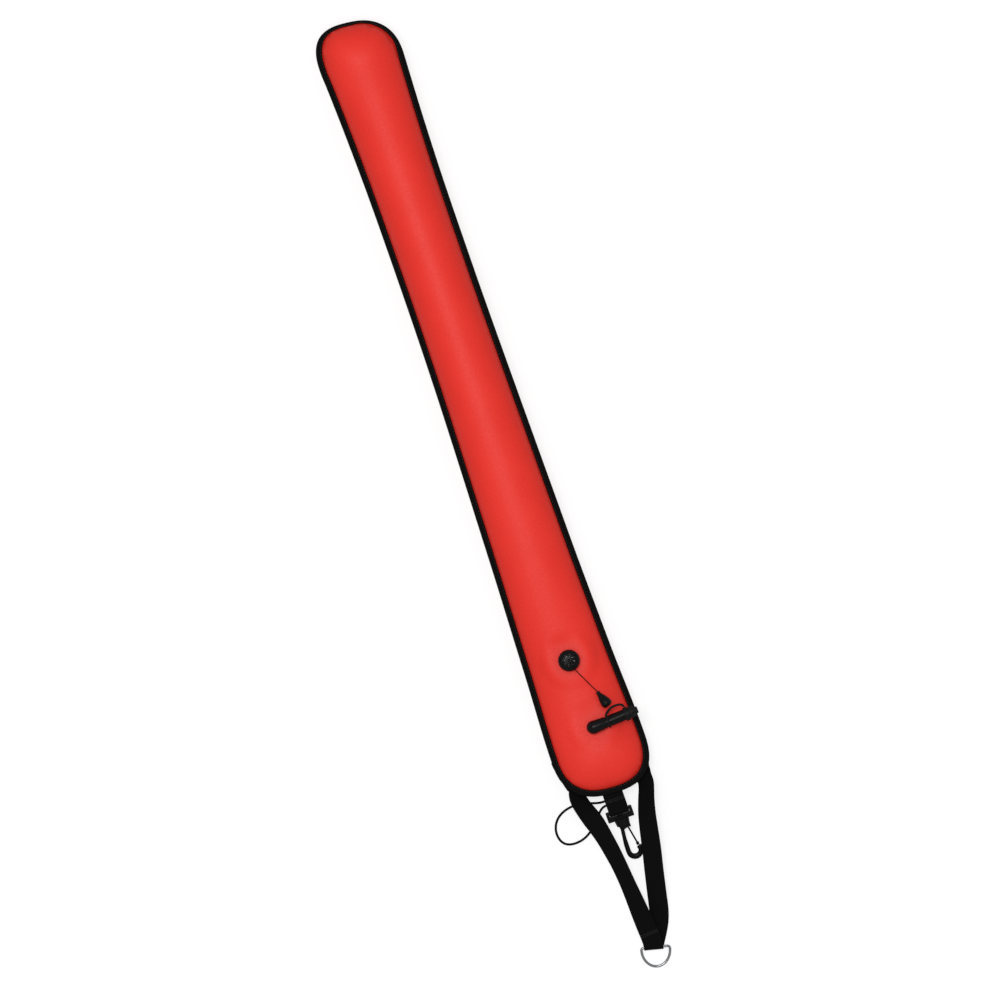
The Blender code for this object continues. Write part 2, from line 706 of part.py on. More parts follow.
# Centre line of the J below the collar, spine first
HOOK_LINE = ((-3.0, 1.0), (-4.2, -11.0), (-5.0, -21.0), (-5.2, -29.5), (-3.6, -36.0),
             (0.2, -39.6), (5.0, -39.8), (9.4, -36.6), (12.0, -31.6), (12.6, -26.6))
HOOK_REACH = 42.6 * MM
SNAP_LENGTH = HOOK_REACH - COLLAR_LOW
SNAP_BAR_Z = SNAP_LENGTH * math.sin(SNAP_SLOPE) + HOOK_THICK * math.cos(SNAP_SLOPE) + CLEAR
SNAP_BAR_Y = FOOT_Y - SNAP_BAR_DROP
snap_frame = empty("snap_bar_axis", (TAIL_LOOP_OFFSET, SNAP_BAR_Y, SNAP_BAR_Z),
                   (SNAP_SLOPE, 0, 0))


def snap_base():
    """Bar, two cheeks and crossbar in one moulding, with the barrel that the stem turns in."""
    half = SNAP_FRAME_WIDTH / 2
    length = SNAP_BAR_RADIUS - FRAME_LOW
    base = box("snap_base", (SNAP_FRAME_WIDTH, length, SNAP_FRAME_THICK),
               (0, (SNAP_BAR_RADIUS + FRAME_LOW) / 2, 0), BLACK_PLASTIC, 1.2 * MM)
    over = 2 * MM
    window = box("snap_window", (SNAP_WINDOW_WIDTH, SNAP_WINDOW_DEPTH + over, SNAP_FRAME_THICK * 2),
                 (0, (SNAP_BAR_RADIUS + over + WINDOW_LOW) / 2, 0))
    boolean(base, place(window, snap_frame, cutter=True))
    bar = rod("snap_bar", SNAP_BAR_RADIUS, (over - half, 0, 0), (half - over, 0, 0), sides=16)
    boolean(base, place(bar, snap_frame, cutter=True), "UNION")
    barrel = rod("snap_barrel", BARREL_RADIUS + 1.4 * MM, (0, FRAME_LOW + over, 0),
                 (0, BARREL_LOW, 0), sides=24, end_radius=BARREL_RADIUS)
    boolean(base, place(barrel, snap_frame, cutter=True), "UNION")
    bore = rod("snap_bore", STEM_RADIUS + CLEAR, (0, WINDOW_LOW + over, 0),
               (0, BARREL_LOW - over, 0), sides=20)
    boolean(base, place(bore, snap_frame, cutter=True))
    recess = rod("snap_recess", STEM_HEAD_RADIUS + CLEAR, (0, WINDOW_LOW + over, 0),
                 (0, WINDOW_LOW - STEM_RECESS, 0), sides=24)
    boolean(base, place(recess, snap_frame, cutter=True))
    return place(base, snap_frame)


def hook_bend():
    """The J as a solid of oval section, a little fuller at its nose."""
    line = even_path([(x * MM, COLLAR_LOW + y * MM, 0) for x, y in HOOK_LINE], 3.0 * MM)
    sides = 12
    shape = bmesh.new()
    rings = []
    for i, centre in enumerate(line):
        ahead = line[min(i + 1, len(line) - 1)] - line[max(i - 1, 0)]
        side = np.array([-ahead[1], ahead[0], 0]) / np.linalg.norm(ahead)
        fuller = 1.12 if i >= len(line) - 2 else 1.0
        ring = []
        for k in range(sides):
            angle = 2 * math.pi * (k + 0.5) / sides
            offset = side * HOOK_WIDE * fuller * math.cos(angle)
            offset = offset + np.array([0, 0, HOOK_THICK * math.sin(angle)])
            ring.append(shape.verts.new(centre + offset))
        rings.append(ring)
    for ring, after in zip(rings, rings[1:]):
        for k in range(sides):
            n = (k + 1) % sides
            shape.faces.new((ring[k], ring[n], after[n], after[k]))
    shape.faces.new(rings[0][::-1])
    shape.faces.new(rings[-1])
    bmesh.ops.recalc_face_normals(shape, faces=shape.faces)
    return mesh_object("hook_bend", shape)


GATE_ROOT = (4.6 * MM, COLLAR_LOW + 0.9 * MM)
GATE_TIP = (9.2 * MM, COLLAR_LOW - 23.6 * MM)
GATE_KNOB = 2.0 * MM
LUG_LOW = COLLAR_LOW + 0.5 * MM


def snap_hook():
    """Headed stem, collar, gate lug and J-shaped hook in one moulding."""
    head_low = WINDOW_LOW - STEM_RECESS + CLEAR
    head_top = head_low + STEM_HEAD
    chamfer = 1.2 * MM
    profile = [(0, head_top), (STEM_HEAD_RADIUS * 0.7, head_top),
               (STEM_HEAD_RADIUS, head_top - STEM_HEAD * 0.5), (STEM_HEAD_RADIUS, head_low),
               (STEM_RADIUS, head_low), (STEM_RADIUS, COLLAR_TOP),
               (HOOK_COLLAR_RADIUS, COLLAR_TOP), (HOOK_COLLAR_RADIUS, COLLAR_LOW + chamfer),
               (HOOK_COLLAR_RADIUS - chamfer, COLLAR_LOW), (0, COLLAR_LOW)]
    hook = turned("snap_hook", profile, BLACK_PLASTIC, 24)
    boolean(hook, place(hook_bend(), snap_frame, cutter=True), "UNION")
    lug_top = COLLAR_TOP - 0.6 * MM
    lug = box("gate_lug", (7.0 * MM, lug_top - LUG_LOW, 2 * HOOK_THICK),
              (4.9 * MM, (lug_top + LUG_LOW) / 2, 0), bevel=0.5 * MM)
    boolean(hook, place(lug, snap_frame, cutter=True), "UNION")
    socket = rod("gate_socket", GATE_KNUCKLE + CLEAR, (*GATE_ROOT, -2 * HOOK_THICK),
                 (*GATE_ROOT, 2 * HOOK_THICK), sides=20)
    boolean(hook, place(socket, snap_frame, cutter=True))
    mouth = box("gate_mouth", (5.6 * MM, GATE_ROOT[1] - COLLAR_LOW + 3 * MM, 4 * HOOK_THICK),
                (GATE_ROOT[0] - 1.0 * MM, (GATE_ROOT[1] + COLLAR_LOW - 3 * MM) / 2, 0))
    boolean(hook, place(mouth, snap_frame, cutter=True))
    return place(hook, snap_frame, rotation=(math.radians(-90), 0, 0))


def snap_gate():
    """Springy leaf from its knuckle in the lug to the knob over the hook's nose."""
    root, tip = Vector(GATE_ROOT), Vector(GATE_TIP)
    heading = math.degrees(math.atan2(tip.y - root.y, tip.x - root.x))
    outline_points = []
    for centre, radius, facing in ((root, GATE_KNUCKLE, heading + 180), (tip, GATE_KNOB, heading)):
        open_half = math.degrees(math.asin(GATE_THICK / radius))
        outline_points += arc(centre, radius, facing - 180 + open_half, facing + 180 - open_half, 12)
    outline_points = [(x - root.x, y - root.y) for x, y in outline_points]
    gate = flat_shape("snap_gate", outline_points, GATE_HALF_DEPTH, BLACK_PLASTIC)
    return place(gate, snap_frame, location=(*root, 0))


def tail_loop():
    """Webbing from under the foot's binding, round the snap's bar and back."""
    layer = WEBBING + CLEAR
    top_z = weld_z(FOOT_Y) - BINDING_HALF - CLEAR - WEBBING / 2
    sewn_end = FOOT_Y + FOOT_FLANGE * 0.8
    fold_radius = SNAP_BAR_RADIUS + CLEAR + WEBBING / 2
    bar = np.array([TAIL_LOOP_OFFSET, SNAP_BAR_Y, SNAP_BAR_Z])
    fold = [bar + fold_radius * np.array([0, -math.cos(a), math.sin(a)])
            for a in np.radians(np.linspace(100, -100, 12))]
    x = TAIL_LOOP_OFFSET
    past = FOOT_Y - 5 * MM
    top = [(x, sewn_end, top_z), (x, FOOT_Y, top_z), (x, past, top_z - 0.3 * MM), tuple(fold[0])]
    low = [tuple(fold[-1]), (x, past, top_z - layer - 0.9 * MM), (x, FOOT_Y, top_z - layer),
           (x, sewn_end, top_z - layer)]
    path = smooth_path(top, 3)[:-1] + fold + smooth_path(low, 3)[1:]
    across = [np.array([1.0, 0, 0])] * len(path)
    return place(webbing("tail_loop", path, across, WEBBING_WIDTH, BLACK_WEBBING))


tail_loop()
snap_base()
snap_hook()
snap_gate()

# Bungee: x, distance below the foot, height of its centre
BUNGEE_ROUTE = ((-16.4, 6.0, 21.4), (-20.0, 6.0, 20.9), (-25.2, 5.2, 17.6), (-31.4, 3.4, 12.6),
                (-38.4, 1.2, 8.2), (-46.6, -0.6, 4.6), (-56.4, -1.0, 2.2), (-67.4, 1.2, 1.6),
                (-76.2, 5.8, 1.6), (-82.2, 12.2, 1.6), (-85.5, 19.9, 1.6), (-86.1, 27.8, 1.6),
                (-84.1, 35.4, 1.6), (-79.4, 40.9, 1.6), (-72.3, 43.6, 1.6), (-64.0, 43.8, 1.6),
                (-55.7, 41.9, 2.0), (-47.8, 37.9, 3.8), (-40.2, 32.1, 7.4), (-33.0, 25.4, 12.0),
                (-27.0, 17.6, 16.2), (-21.8, 13.2, 18.6), (-16.4, 11.6, 19.6))


def route(rows):
    """A cord's points in metres, from x, distance below the foot and height in millimetres."""
    return [(x * MM, FOOT_Y - below * MM, z * MM) for x, below, z in rows]


place(wire("bungee_loop", even_path(route(BUNGEE_ROUTE), 6.0 * MM), BUNGEE_RADIUS, BLACK_CORD))


# Dump valve, in a frame on the fabric's outer face

valve_frame = empty("valve_axis", (*VALVE_XY, VALVE_SEAT))
FLANGE_TOP = -FABRIC - CLEAR
SEAT_RIDGE = 0.4 * MM
SEAL_LOW = VALVE_NECK_HEIGHT + SEAT_RIDGE + CLEAR
DISC_LOW = SEAL_LOW + SEAL_THICK + CLEAR
STEM_TOP = VALVE_CAP_HEIGHT
EYELET_BORE = STEM_POPPET_RADIUS + CLEAR
EYELET_TOP = VALVE_CAP_HEIGHT + VALVE_EYELET_HEIGHT + 0.4 * MM


def valve_base():
    """Flange welded under the fabric, neck through it, and the raised seat on the neck."""
    neck, bore, flange = VALVE_NECK_RADIUS, VALVE_BORE_RADIUS, VALVE_FLANGE_RADIUS
    top = VALVE_NECK_HEIGHT
    low = FLANGE_TOP - VALVE_FLANGE
    profile = [(neck, top), (neck, FLANGE_TOP), (flange, FLANGE_TOP), (flange, low), (bore, low),
               (bore, top + SEAT_RIDGE), (bore + 0.8 * MM, top + SEAT_RIDGE),
               (bore + 1.2 * MM, top), (neck, top)]
    return place(turned("valve_base", profile, BLACK_PLASTIC), valve_frame)


def poppet_pieces():
    """Disc with its spigot and stem, and the rubber ring held under the disc."""
    spigot = VALVE_BORE_RADIUS - 0.4 * MM
    disc_top = DISC_LOW + POPPET
    stem = STEM_POPPET_RADIUS
    profile = [(0, STEM_TOP), (stem, STEM_TOP), (stem, disc_top + 0.8 * MM),
               (stem + 0.8 * MM, disc_top), (POPPET_RADIUS, disc_top), (POPPET_RADIUS, DISC_LOW),
               (spigot, DISC_LOW), (spigot, SEAL_LOW + 0.2 * MM), (0, SEAL_LOW + 0.2 * MM)]
    place(turned("valve_poppet", profile, BLACK_PLASTIC), valve_frame)
    inner, outer = spigot + CLEAR, POPPET_RADIUS - 0.4 * MM
    ring = [(outer, SEAL_LOW + SEAL_THICK), (outer, SEAL_LOW), (inner, SEAL_LOW),
            (inner, SEAL_LOW + SEAL_THICK), (outer, SEAL_LOW + SEAL_THICK)]
    place(turned("poppet_seal", ring, BLACK_RUBBER), valve_frame)


def helix(radius_start, radius_end, z_start, z_end, turns, points_per_turn=9):
    """Points of a coil about Z."""
    made = []
    for i in range(turns * points_per_turn + 1):
        share = i / (turns * points_per_turn)
        radius = radius_start + (radius_end - radius_start) * share
        angle = 2 * math.pi * turns * share
        made.append((radius * math.cos(angle), radius * math.sin(angle),
                     z_start + (z_end - z_start) * share))
    return made


def least_gap(points, wire_radius, points_per_turn=9):
    """Least clear space between a coil's turns, measured on its points."""
    gaps = [math.dist(p, q) for i, p in enumerate(points) for q in points[i + points_per_turn - 1:]]
    return min(gaps) - 2 * wire_radius


def spring(name, points, wire_radius, parent, rotation=(0, 0, 0)):
    """A coil spring of round wire."""
    print(name, "least gap between turns:", round(least_gap(points, wire_radius) / MM, 2), "mm")
    coil = wire(name, points, wire_radius, STAINLESS, resolution=1)
    return place(coil, parent, rotation=rotation)


def valve_cap():
    """Domed cap with its eyelet, cut through by vents and grooved for the fingers."""
    rim, neck_bore = VALVE_CAP_RADIUS, VALVE_NECK_RADIUS + CLEAR
    chamber = rim - VALVE_CAP_WALL
    top = VALVE_CAP_HEIGHT
    wall = VALVE_CAP_WALL
    eyelet = VALVE_EYELET_RADIUS
    neck_top = VALVE_NECK_HEIGHT + 0.8 * MM
    profile = [(EYELET_BORE, EYELET_TOP), (eyelet - 0.5 * MM, EYELET_TOP),
               (eyelet, EYELET_TOP - 0.5 * MM), (eyelet, top + 0.5 * MM),
               (rim * 0.50, top + 0.2 * MM), (rim * 0.70, top - 0.7 * MM),
               (rim * 0.87, top - 2.2 * MM), (rim * 0.965, top - 4.2 * MM), (rim, top - 6.6 * MM),
               (rim, CLEAR), (neck_bore, CLEAR), (neck_bore, neck_top),
               (chamber, neck_top + 0.6 * MM), (chamber, top - 4.4 * MM),
               (chamber - 1.1 * MM, top - 2.9 * MM), (rim * 0.55, top - wall + 0.1 * MM),
               (EYELET_BORE, top - wall + 0.4 * MM), (EYELET_BORE, EYELET_TOP)]
    cap = turned("valve_cap", profile, BLACK_PLASTIC)
    slots = bmesh.new()
    for k in range(VALVE_VENTS):
        made = bmesh.ops.create_cube(slots, size=1)["verts"]
        bmesh.ops.scale(slots, vec=(5.2 * MM, 1.7 * MM, 8 * MM), verts=made)
        bmesh.ops.translate(slots, vec=(rim * 0.56, 0, top), verts=made)
        bmesh.ops.rotate(slots, cent=(0, 0, 0), verts=made,
                         matrix=Matrix.Rotation(2 * math.pi * (k + 0.5) / VALVE_VENTS, 3, "Z"))
    boolean(cap, place(mesh_object("vents", slots), valve_frame, cutter=True))
    grooves = bmesh.new()
    for k in range(VALVE_GRIPS):
        made = bmesh.ops.create_cone(grooves, cap_ends=True, segments=6, radius1=0.9 * MM,
                                     radius2=0.9 * MM, depth=top * 2)["verts"]
        angle = 2 * math.pi * k / VALVE_GRIPS
        spot = rim + 0.35 * MM
        bmesh.ops.translate(grooves, verts=made,
                            vec=(spot * math.cos(angle), spot * math.sin(angle), 0))
    boolean(cap, place(mesh_object("grip_grooves", grooves), valve_frame, cutter=True))
    return place(cap, valve_frame)


valve_base()
poppet_pieces()
valve_cap()
disc_face = DISC_LOW + POPPET
spring_wire = 0.3 * MM
spring("valve_spring",
       helix(POPPET_RADIUS - 1.6 * MM, 3.0 * MM, disc_face + CLEAR + spring_wire,
             VALVE_CAP_HEIGHT - VALVE_CAP_WALL - spring_wire, 3), spring_wire, valve_frame)


# Pull cord and toggle

TOGGLE_Y = FOOT_Y + TOGGLE_PLACE[1]
TOGGLE_PITCH = math.radians(4)
TOGGLE_NECK = 2.5 * MM
TOGGLE_PROFILE = ((0.0, 0.0), (0.32, 0.0), (0.38, 0.03), (0.38, 0.10), (0.32, 0.135),
                  (0.46, 0.22), (0.68, 0.40), (0.87, 0.58), (0.98, 0.73), (1.0, 0.83),
                  (0.90, 0.92), (0.66, 0.98), (0.36, 1.0), (0.0, 1.0))
toggle_heading = np.array([math.sin(TOGGLE_TURN) * math.cos(TOGGLE_PITCH),
                           -math.cos(TOGGLE_TURN) * math.cos(TOGGLE_PITCH),
                           math.sin(TOGGLE_PITCH)])


def toggle_height():
    """Height of the neck's end at which the toggle lies just clear of the panel."""
    right = np.array([math.cos(TOGGLE_TURN), math.sin(TOGGLE_TURN), 0])
    up = np.cross(right, toggle_heading)
    up *= math.copysign(1, up[2])
    lowest = math.inf
    for radius, along in TOGGLE_PROFILE:
        for angle in np.radians(np.arange(0, 360, 15)):
            point = (np.array([TOGGLE_PLACE[0], TOGGLE_Y, 0])
                     + toggle_heading * along * TOGGLE_LENGTH
                     + TOGGLE_RADIUS * radius * (right * math.cos(angle) + up * math.sin(angle)))
            lowest = min(lowest, point[2] - front_z(point[0], point[1]))
    return CLEAR - lowest


TOGGLE_Z = toggle_height()
toggle_frame = empty("toggle_axis", (TOGGLE_PLACE[0], TOGGLE_Y, TOGGLE_Z),
                     (math.radians(90) - TOGGLE_PITCH, 0, TOGGLE_TURN))
toggle_profile = [(radius * TOGGLE_RADIUS, along * TOGGLE_LENGTH)
                  for radius, along in TOGGLE_PROFILE[::-1]]
toggle = turned("pull_toggle", toggle_profile, BLACK_PLASTIC, 24)
place(toggle, toggle_frame)

# From the eyelet over the cap and along the panel to the toggle: x, distance above the foot, and
# height over the valve's seat, or None where the cord lies on the panel
CORD_ROUTE = ((-0.6, 175.1, 13.55), (-0.6, 175.1, 16.6), (-0.1, 173.4, 18.1), (0.8, 170.4, 17.4),
              (1.8, 166.8, 15.4), (2.6, 163.6, 13.4), (3.5, 160.4, 9.4), (5.0, 157.0, 4.4),
              (7.4, 152.2, None), (10.6, 145.8, None), (13.8, 139.4, None), (16.6, 133.6, None))


def pull_cord():
    """Thin cord from the poppet's stem to the toggle's neck."""
    points = []
    for x, above, height in CORD_ROUTE:
        x, y = x * MM, FOOT_Y + above * MM
        z = front_z(x, y) + CORD_RADIUS + CLEAR if height is None else VALVE_SEAT + height * MM
        points.append((x, y, z))
    neck = np.array([TOGGLE_PLACE[0], TOGGLE_Y, TOGGLE_Z]) - toggle_heading * CLEAR
    points += [tuple(neck - toggle_heading * 2 * MM), tuple(neck)]
    return place(wire("pull_cord", even_path(points, 3.2 * MM), CORD_RADIUS, BLACK_CORD))


pull_cord()


# Oral inflator, in a frame on the fabric's outer face with X along its tube

inflator_frame = empty("inflator_axis", (*INFLATOR_XY, INFLATOR_SEAT), (0, 0, INFLATOR_TURN))
tube_frame = empty("inflator_tube_axis", (0, 0, INFLATOR_HEIGHT), (0, math.radians(90), 0),
                   inflator_frame)
SPIGOT_TOP = 6.0 * MM
ELBOW_SPIGOT = TUBE_COUNTERBORE - CLEAR
ELBOW_SPIGOT_END = ELBOW_REACH + 5.5 * MM
COLLAR_FACE = TUBE_SHOULDER - CLEAR - SEAL_THICK - CLEAR
MOUTHPIECE_COLLAR = 1.0 * MM
MOUTHPIECE_RADIUS = TUBE_BORE - CLEAR


def inflator_base():
    """Flange welded under the fabric, with the neck and spigot that carry the elbow."""
    neck, spigot, flange = INFLATOR_NECK_RADIUS, INFLATOR_SPIGOT_RADIUS, INFLATOR_FLANGE_RADIUS
    low = FLANGE_TOP - VALVE_FLANGE
    bore = spigot - 1.4 * MM
    profile = [(spigot, SPIGOT_TOP), (spigot, 0), (neck, 0), (neck, FLANGE_TOP),
               (flange, FLANGE_TOP), (flange, low), (bore, low), (bore, SPIGOT_TOP),
               (spigot, SPIGOT_TOP)]
    return place(turned("inflator_base", profile, BLACK_PLASTIC), inflator_frame)


def inflator_elbow():
    """Two legs and a round corner, bored through, with a spigot for the tube."""
    height = INFLATOR_HEIGHT
    elbow = rod("inflator_elbow", ELBOW_RADIUS, (0, 0, CLEAR), (0, 0, height), BLACK_PLASTIC, 28)
    corner = bmesh.new()
    bmesh.ops.create_uvsphere(corner, u_segments=28, v_segments=14, radius=ELBOW_RADIUS + 0.1 * MM)
    bmesh.ops.translate(corner, vec=(0, 0, height), verts=corner.verts)
    leg = rod("elbow_leg", ELBOW_RADIUS - 0.2 * MM, (0, 0, height), (ELBOW_REACH, 0, height),
              sides=28)
    spigot = rod("elbow_spigot", ELBOW_SPIGOT, (ELBOW_REACH - 2 * MM, 0, height),
                 (ELBOW_SPIGOT_END, 0, height), sides=28)
    for added in (mesh_object("elbow_corner", corner), leg, spigot):
        boolean(elbow, place(added, inflator_frame, cutter=True), "UNION")
    over = 3 * MM
    socket = rod("elbow_socket", INFLATOR_SPIGOT_RADIUS + CLEAR, (0, 0, -over),
                 (0, 0, SPIGOT_TOP + CLEAR), sides=24)
    rise = rod("elbow_rise", ELBOW_BORE, (0, 0, SPIGOT_TOP - MM), (0, 0, height), sides=20)
    across = rod("elbow_bore", ELBOW_BORE, (-ELBOW_BORE * 0.6, 0, height),
                 (ELBOW_SPIGOT_END + over, 0, height), sides=20)
    for cutter in (socket, rise, across):
        boolean(elbow, place(cutter, inflator_frame, cutter=True))
    return place(elbow, inflator_frame)


def inflator_tube():
    """Straight tube: counterbored for the spring, with a shoulder that stops the mouthpiece."""
    outer, end = INFLATOR_TUBE_RADIUS, INFLATOR_TUBE_END
    start = ELBOW_REACH + CLEAR
    profile = [(outer, end - 0.6 * MM), (outer, start), (TUBE_COUNTERBORE, start),
               (TUBE_COUNTERBORE, TUBE_SHOULDER), (TUBE_BORE, TUBE_SHOULDER), (TUBE_BORE, end),
               (outer - 0.6 * MM, end), (outer, end - 0.6 * MM)]
    return place(turned("inflator_tube", profile, BLACK_PLASTIC, 28), tube_frame)


def mouthpiece_pieces():
    """Blind tube with side ports behind its lip, and the rubber ring behind its collar."""
    bore_end = TUBE_SHOULDER + 1.4 * MM
    lip = TUBE_COUNTERBORE - CLEAR
    body = MOUTHPIECE_RADIUS
    profile = [(0, bore_end), (MOUTHPIECE_BORE, bore_end), (MOUTHPIECE_BORE, MOUTHPIECE_END),
               (lip, MOUTHPIECE_END), (lip, MOUTHPIECE_END - 1.8 * MM),
               (body, MOUTHPIECE_END - 2.2 * MM), (body, COLLAR_FACE), (lip, COLLAR_FACE),
               (lip, COLLAR_FACE - MOUTHPIECE_COLLAR), (0, COLLAR_FACE - MOUTHPIECE_COLLAR)]
    mouthpiece = turned("mouthpiece", profile, BLACK_PLASTIC, 28)
    port_place = bore_end + 1.5 * MM
    ports = rod("side_ports", 1.1 * MM, (0, -2 * body, port_place), (0, 2 * body, port_place),
                sides=10)
    boolean(mouthpiece, place(ports, tube_frame, cutter=True))
    place(mouthpiece, tube_frame)
    low, high = COLLAR_FACE + CLEAR, COLLAR_FACE + CLEAR + SEAL_THICK - 0.1 * MM
    ring = [(lip, high), (lip, low), (body + CLEAR, low), (body + CLEAR, high), (lip, high)]
    place(turned("mouthpiece_seal", ring, BLACK_RUBBER, 28), tube_frame)


def dust_cap():
    """Rubber cap: a wide rim over the tube's end, a grooved grip and a small nub."""
    rim, grip, nub = CAP_RIM_RADIUS, CAP_GRIP_RADIUS, CAP_NUB_RADIUS
    lip_room = TUBE_COUNTERBORE
    hollow_end = MOUTHPIECE_END + 0.7 * MM
    rim_end = CAP_START + 6.0 * MM
    grip_end = CAP_START + 12.9 * MM
    over_tube = INFLATOR_TUBE_RADIUS + CLEAR
    profile = [(0, CAP_END), (nub - 0.8 * MM, CAP_END), (nub, CAP_END - 0.8 * MM),
               (nub, grip_end + 0.4 * MM), (grip - 0.6 * MM, grip_end), (grip, grip_end - 0.6 * MM),
               (grip, rim_end + 0.4 * MM), (rim, rim_end), (rim, CAP_START + 0.4 * MM),
               (rim - 0.4 * MM, CAP_START), (over_tube, CAP_START),
               (over_tube, INFLATOR_TUBE_END + CLEAR), (lip_room, INFLATOR_TUBE_END + 0.6 * MM),
               (lip_room, hollow_end), (0, hollow_end)]
    cap = turned("dust_cap", profile, BLACK_RUBBER, 28)
    grooves = bmesh.new()
    for k in range(CAP_GRIPS):
        made = bmesh.ops.create_cone(grooves, cap_ends=True, segments=6, radius1=0.8 * MM,
                                     radius2=0.8 * MM, depth=8 * MM)["verts"]
        angle = 2 * math.pi * k / CAP_GRIPS
        spot = grip + 0.25 * MM
        bmesh.ops.translate(grooves, verts=made,
                            vec=(spot * math.cos(angle), spot * math.sin(angle),
                                 rim_end + 1.2 * MM + 4 * MM))
    boolean(cap, place(mesh_object("cap_grooves", grooves), tube_frame, cutter=True))
    return place(cap, tube_frame)


# Strap of the tether in the frame of the inflator: along the tube, and out to the side
TETHER_LINE = ((19.1, 7.4), (20.6, 9.6), (24.0, 12.2), (29.0, 14.4), (34.0, 15.0), (38.6, 14.5),
               (42.2, 13.0), (43.9, 11.2), (44.1, 9.2))


def cap_tether():
    """Rubber ring round the elbow with the curved strap that holds the cap."""
    start, end = TETHER_RING_START, TETHER_RING_START + TETHER_RING_WIDTH
    inner = ELBOW_RADIUS - 0.2 * MM + CLEAR
    ring = [(TETHER_RING_RADIUS, end), (TETHER_RING_RADIUS, start), (inner, start), (inner, end),
            (TETHER_RING_RADIUS, end)]
    tether = turned("cap_tether", ring, BLACK_RUBBER, 28)
    line = even_path([(x * MM, y * MM, INFLATOR_HEIGHT) for x, y in TETHER_LINE], 2.4 * MM)
    guide = wire("tether_line", line, TETHER_STRAP_RADIUS, BLACK_RUBBER)
    bpy.context.scene.collection.objects.link(guide)
    evaluated = guide.evaluated_get(bpy.context.evaluated_depsgraph_get())
    shape = bmesh.new()
    mesh = bpy.data.meshes.new_from_object(evaluated)
    shape.from_mesh(mesh)
    bpy.data.objects.remove(guide)
    bmesh.ops.remove_doubles(shape, verts=shape.verts, dist=0.000001)
    strap = mesh_object("tether_strap", shape)
    boolean(tether, place(strap, inflator_frame, cutter=True), "UNION")
    return place(tether, tube_frame)


inflator_base()
inflator_elbow()
inflator_tube()
mouthpiece_pieces()
coil_start = ELBOW_SPIGOT_END + CLEAR + spring_wire
coil_end = COLLAR_FACE - MOUTHPIECE_COLLAR - CLEAR - spring_wire
spring("mouthpiece_spring", helix(4.4 * MM, 4.4 * MM, coil_start, coil_end, 4), spring_wire,
       tube_frame)
dust_cap()
cap_tether()
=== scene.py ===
# %% [markdown]
# # A surface marker buoy
# A diver's marker buoy is a tube of coated nylon, blown up by mouth and let down by a valve. Its
# two panels are welded and bound along their edge, and its foot carries a bridle, a snap and a
# bungee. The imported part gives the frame: every piece is made in metres in its place and rides on
# one of its bodies. What is soft or bent from wire replaces its plain solid, and what is moulded
# keeps its solid.

# %% Load the frame
import math

import bmesh
import bpy
import numpy as np
from mathutils import Euler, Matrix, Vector
from mathutils.bvhtree import BVHTree


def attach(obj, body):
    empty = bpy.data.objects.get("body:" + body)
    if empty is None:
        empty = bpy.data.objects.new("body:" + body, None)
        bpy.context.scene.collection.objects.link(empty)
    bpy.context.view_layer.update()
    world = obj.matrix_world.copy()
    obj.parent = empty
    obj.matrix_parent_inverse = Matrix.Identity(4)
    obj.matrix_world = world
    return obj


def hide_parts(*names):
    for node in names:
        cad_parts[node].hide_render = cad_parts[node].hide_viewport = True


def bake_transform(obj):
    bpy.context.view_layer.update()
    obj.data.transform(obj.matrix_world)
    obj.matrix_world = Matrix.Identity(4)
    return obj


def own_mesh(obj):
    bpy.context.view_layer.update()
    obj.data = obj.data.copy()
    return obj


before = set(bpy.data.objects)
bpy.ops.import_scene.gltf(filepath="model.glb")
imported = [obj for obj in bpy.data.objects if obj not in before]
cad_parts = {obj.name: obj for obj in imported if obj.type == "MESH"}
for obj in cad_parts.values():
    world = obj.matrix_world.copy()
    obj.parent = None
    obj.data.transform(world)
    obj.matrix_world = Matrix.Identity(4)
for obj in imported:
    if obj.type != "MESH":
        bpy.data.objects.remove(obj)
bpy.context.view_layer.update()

MM = 0.001
CLEAR = 0.3 * MM
TUBE_LENGTH = 1019 * MM
HEAD_Y = TUBE_LENGTH / 2
FOOT_Y = -TUBE_LENGTH / 2

# %% [markdown]
# The photograph looks straight down on the buoy with next to no perspective: what lies on the
# ground is drawn to the same scale as the tube's crown. So the camera has a very long lens, stands
# 27 m over the buoy and is turned in its own plane. The place under the picture's middle, the way
# that its top points and its width all come from measures taken in the photograph.

# %% Camera
VIEW_CENTRE = (-0.0216, -0.1059)
VIEW_UP = (0.32805, 0.94466)
VIEW_WIDTH = 1.2318
VIEW_PLANE = 0.020
LENS = 800.0
SENSOR = 36.0


def in_scene(name, data):
    """An object round its data, in the scene."""
    made = bpy.data.objects.new(name, data)
    bpy.context.scene.collection.objects.link(made)
    return made


camera_data = bpy.data.cameras.new("camera")
camera_data.lens = LENS
camera_data.sensor_width = SENSOR
camera = in_scene("camera", camera_data)
camera.location = (*VIEW_CENTRE, VIEW_PLANE + VIEW_WIDTH * LENS / SENSOR)
camera.rotation_euler = (0, 0, -math.atan2(*VIEW_UP))
bpy.context.scene.camera = camera
print("camera height:", round(camera.location.z, 3), "m")

# %% [markdown]
# Every material starts from the real one. Five helpers keep the cells short: one turns a hex code
# into a linear colour, one adds a node with its settings and links, one starts a material, one
# links what its nodes give to its shader, and one makes a wave of a given period, which draws
# threads and ribs. A wave is used because a woven pattern is even, where noise is not.

# %% Helpers for materials

def linear(code):
    """Linear colour of a hex code, with alpha."""
    parts = [int(code[i:i + 2], 16) / 255 for i in (1, 3, 5)]
    return (*[c / 12.92 if c <= 0.04045 else ((c + 0.055) / 1.055) ** 2.4 for c in parts], 1.0)


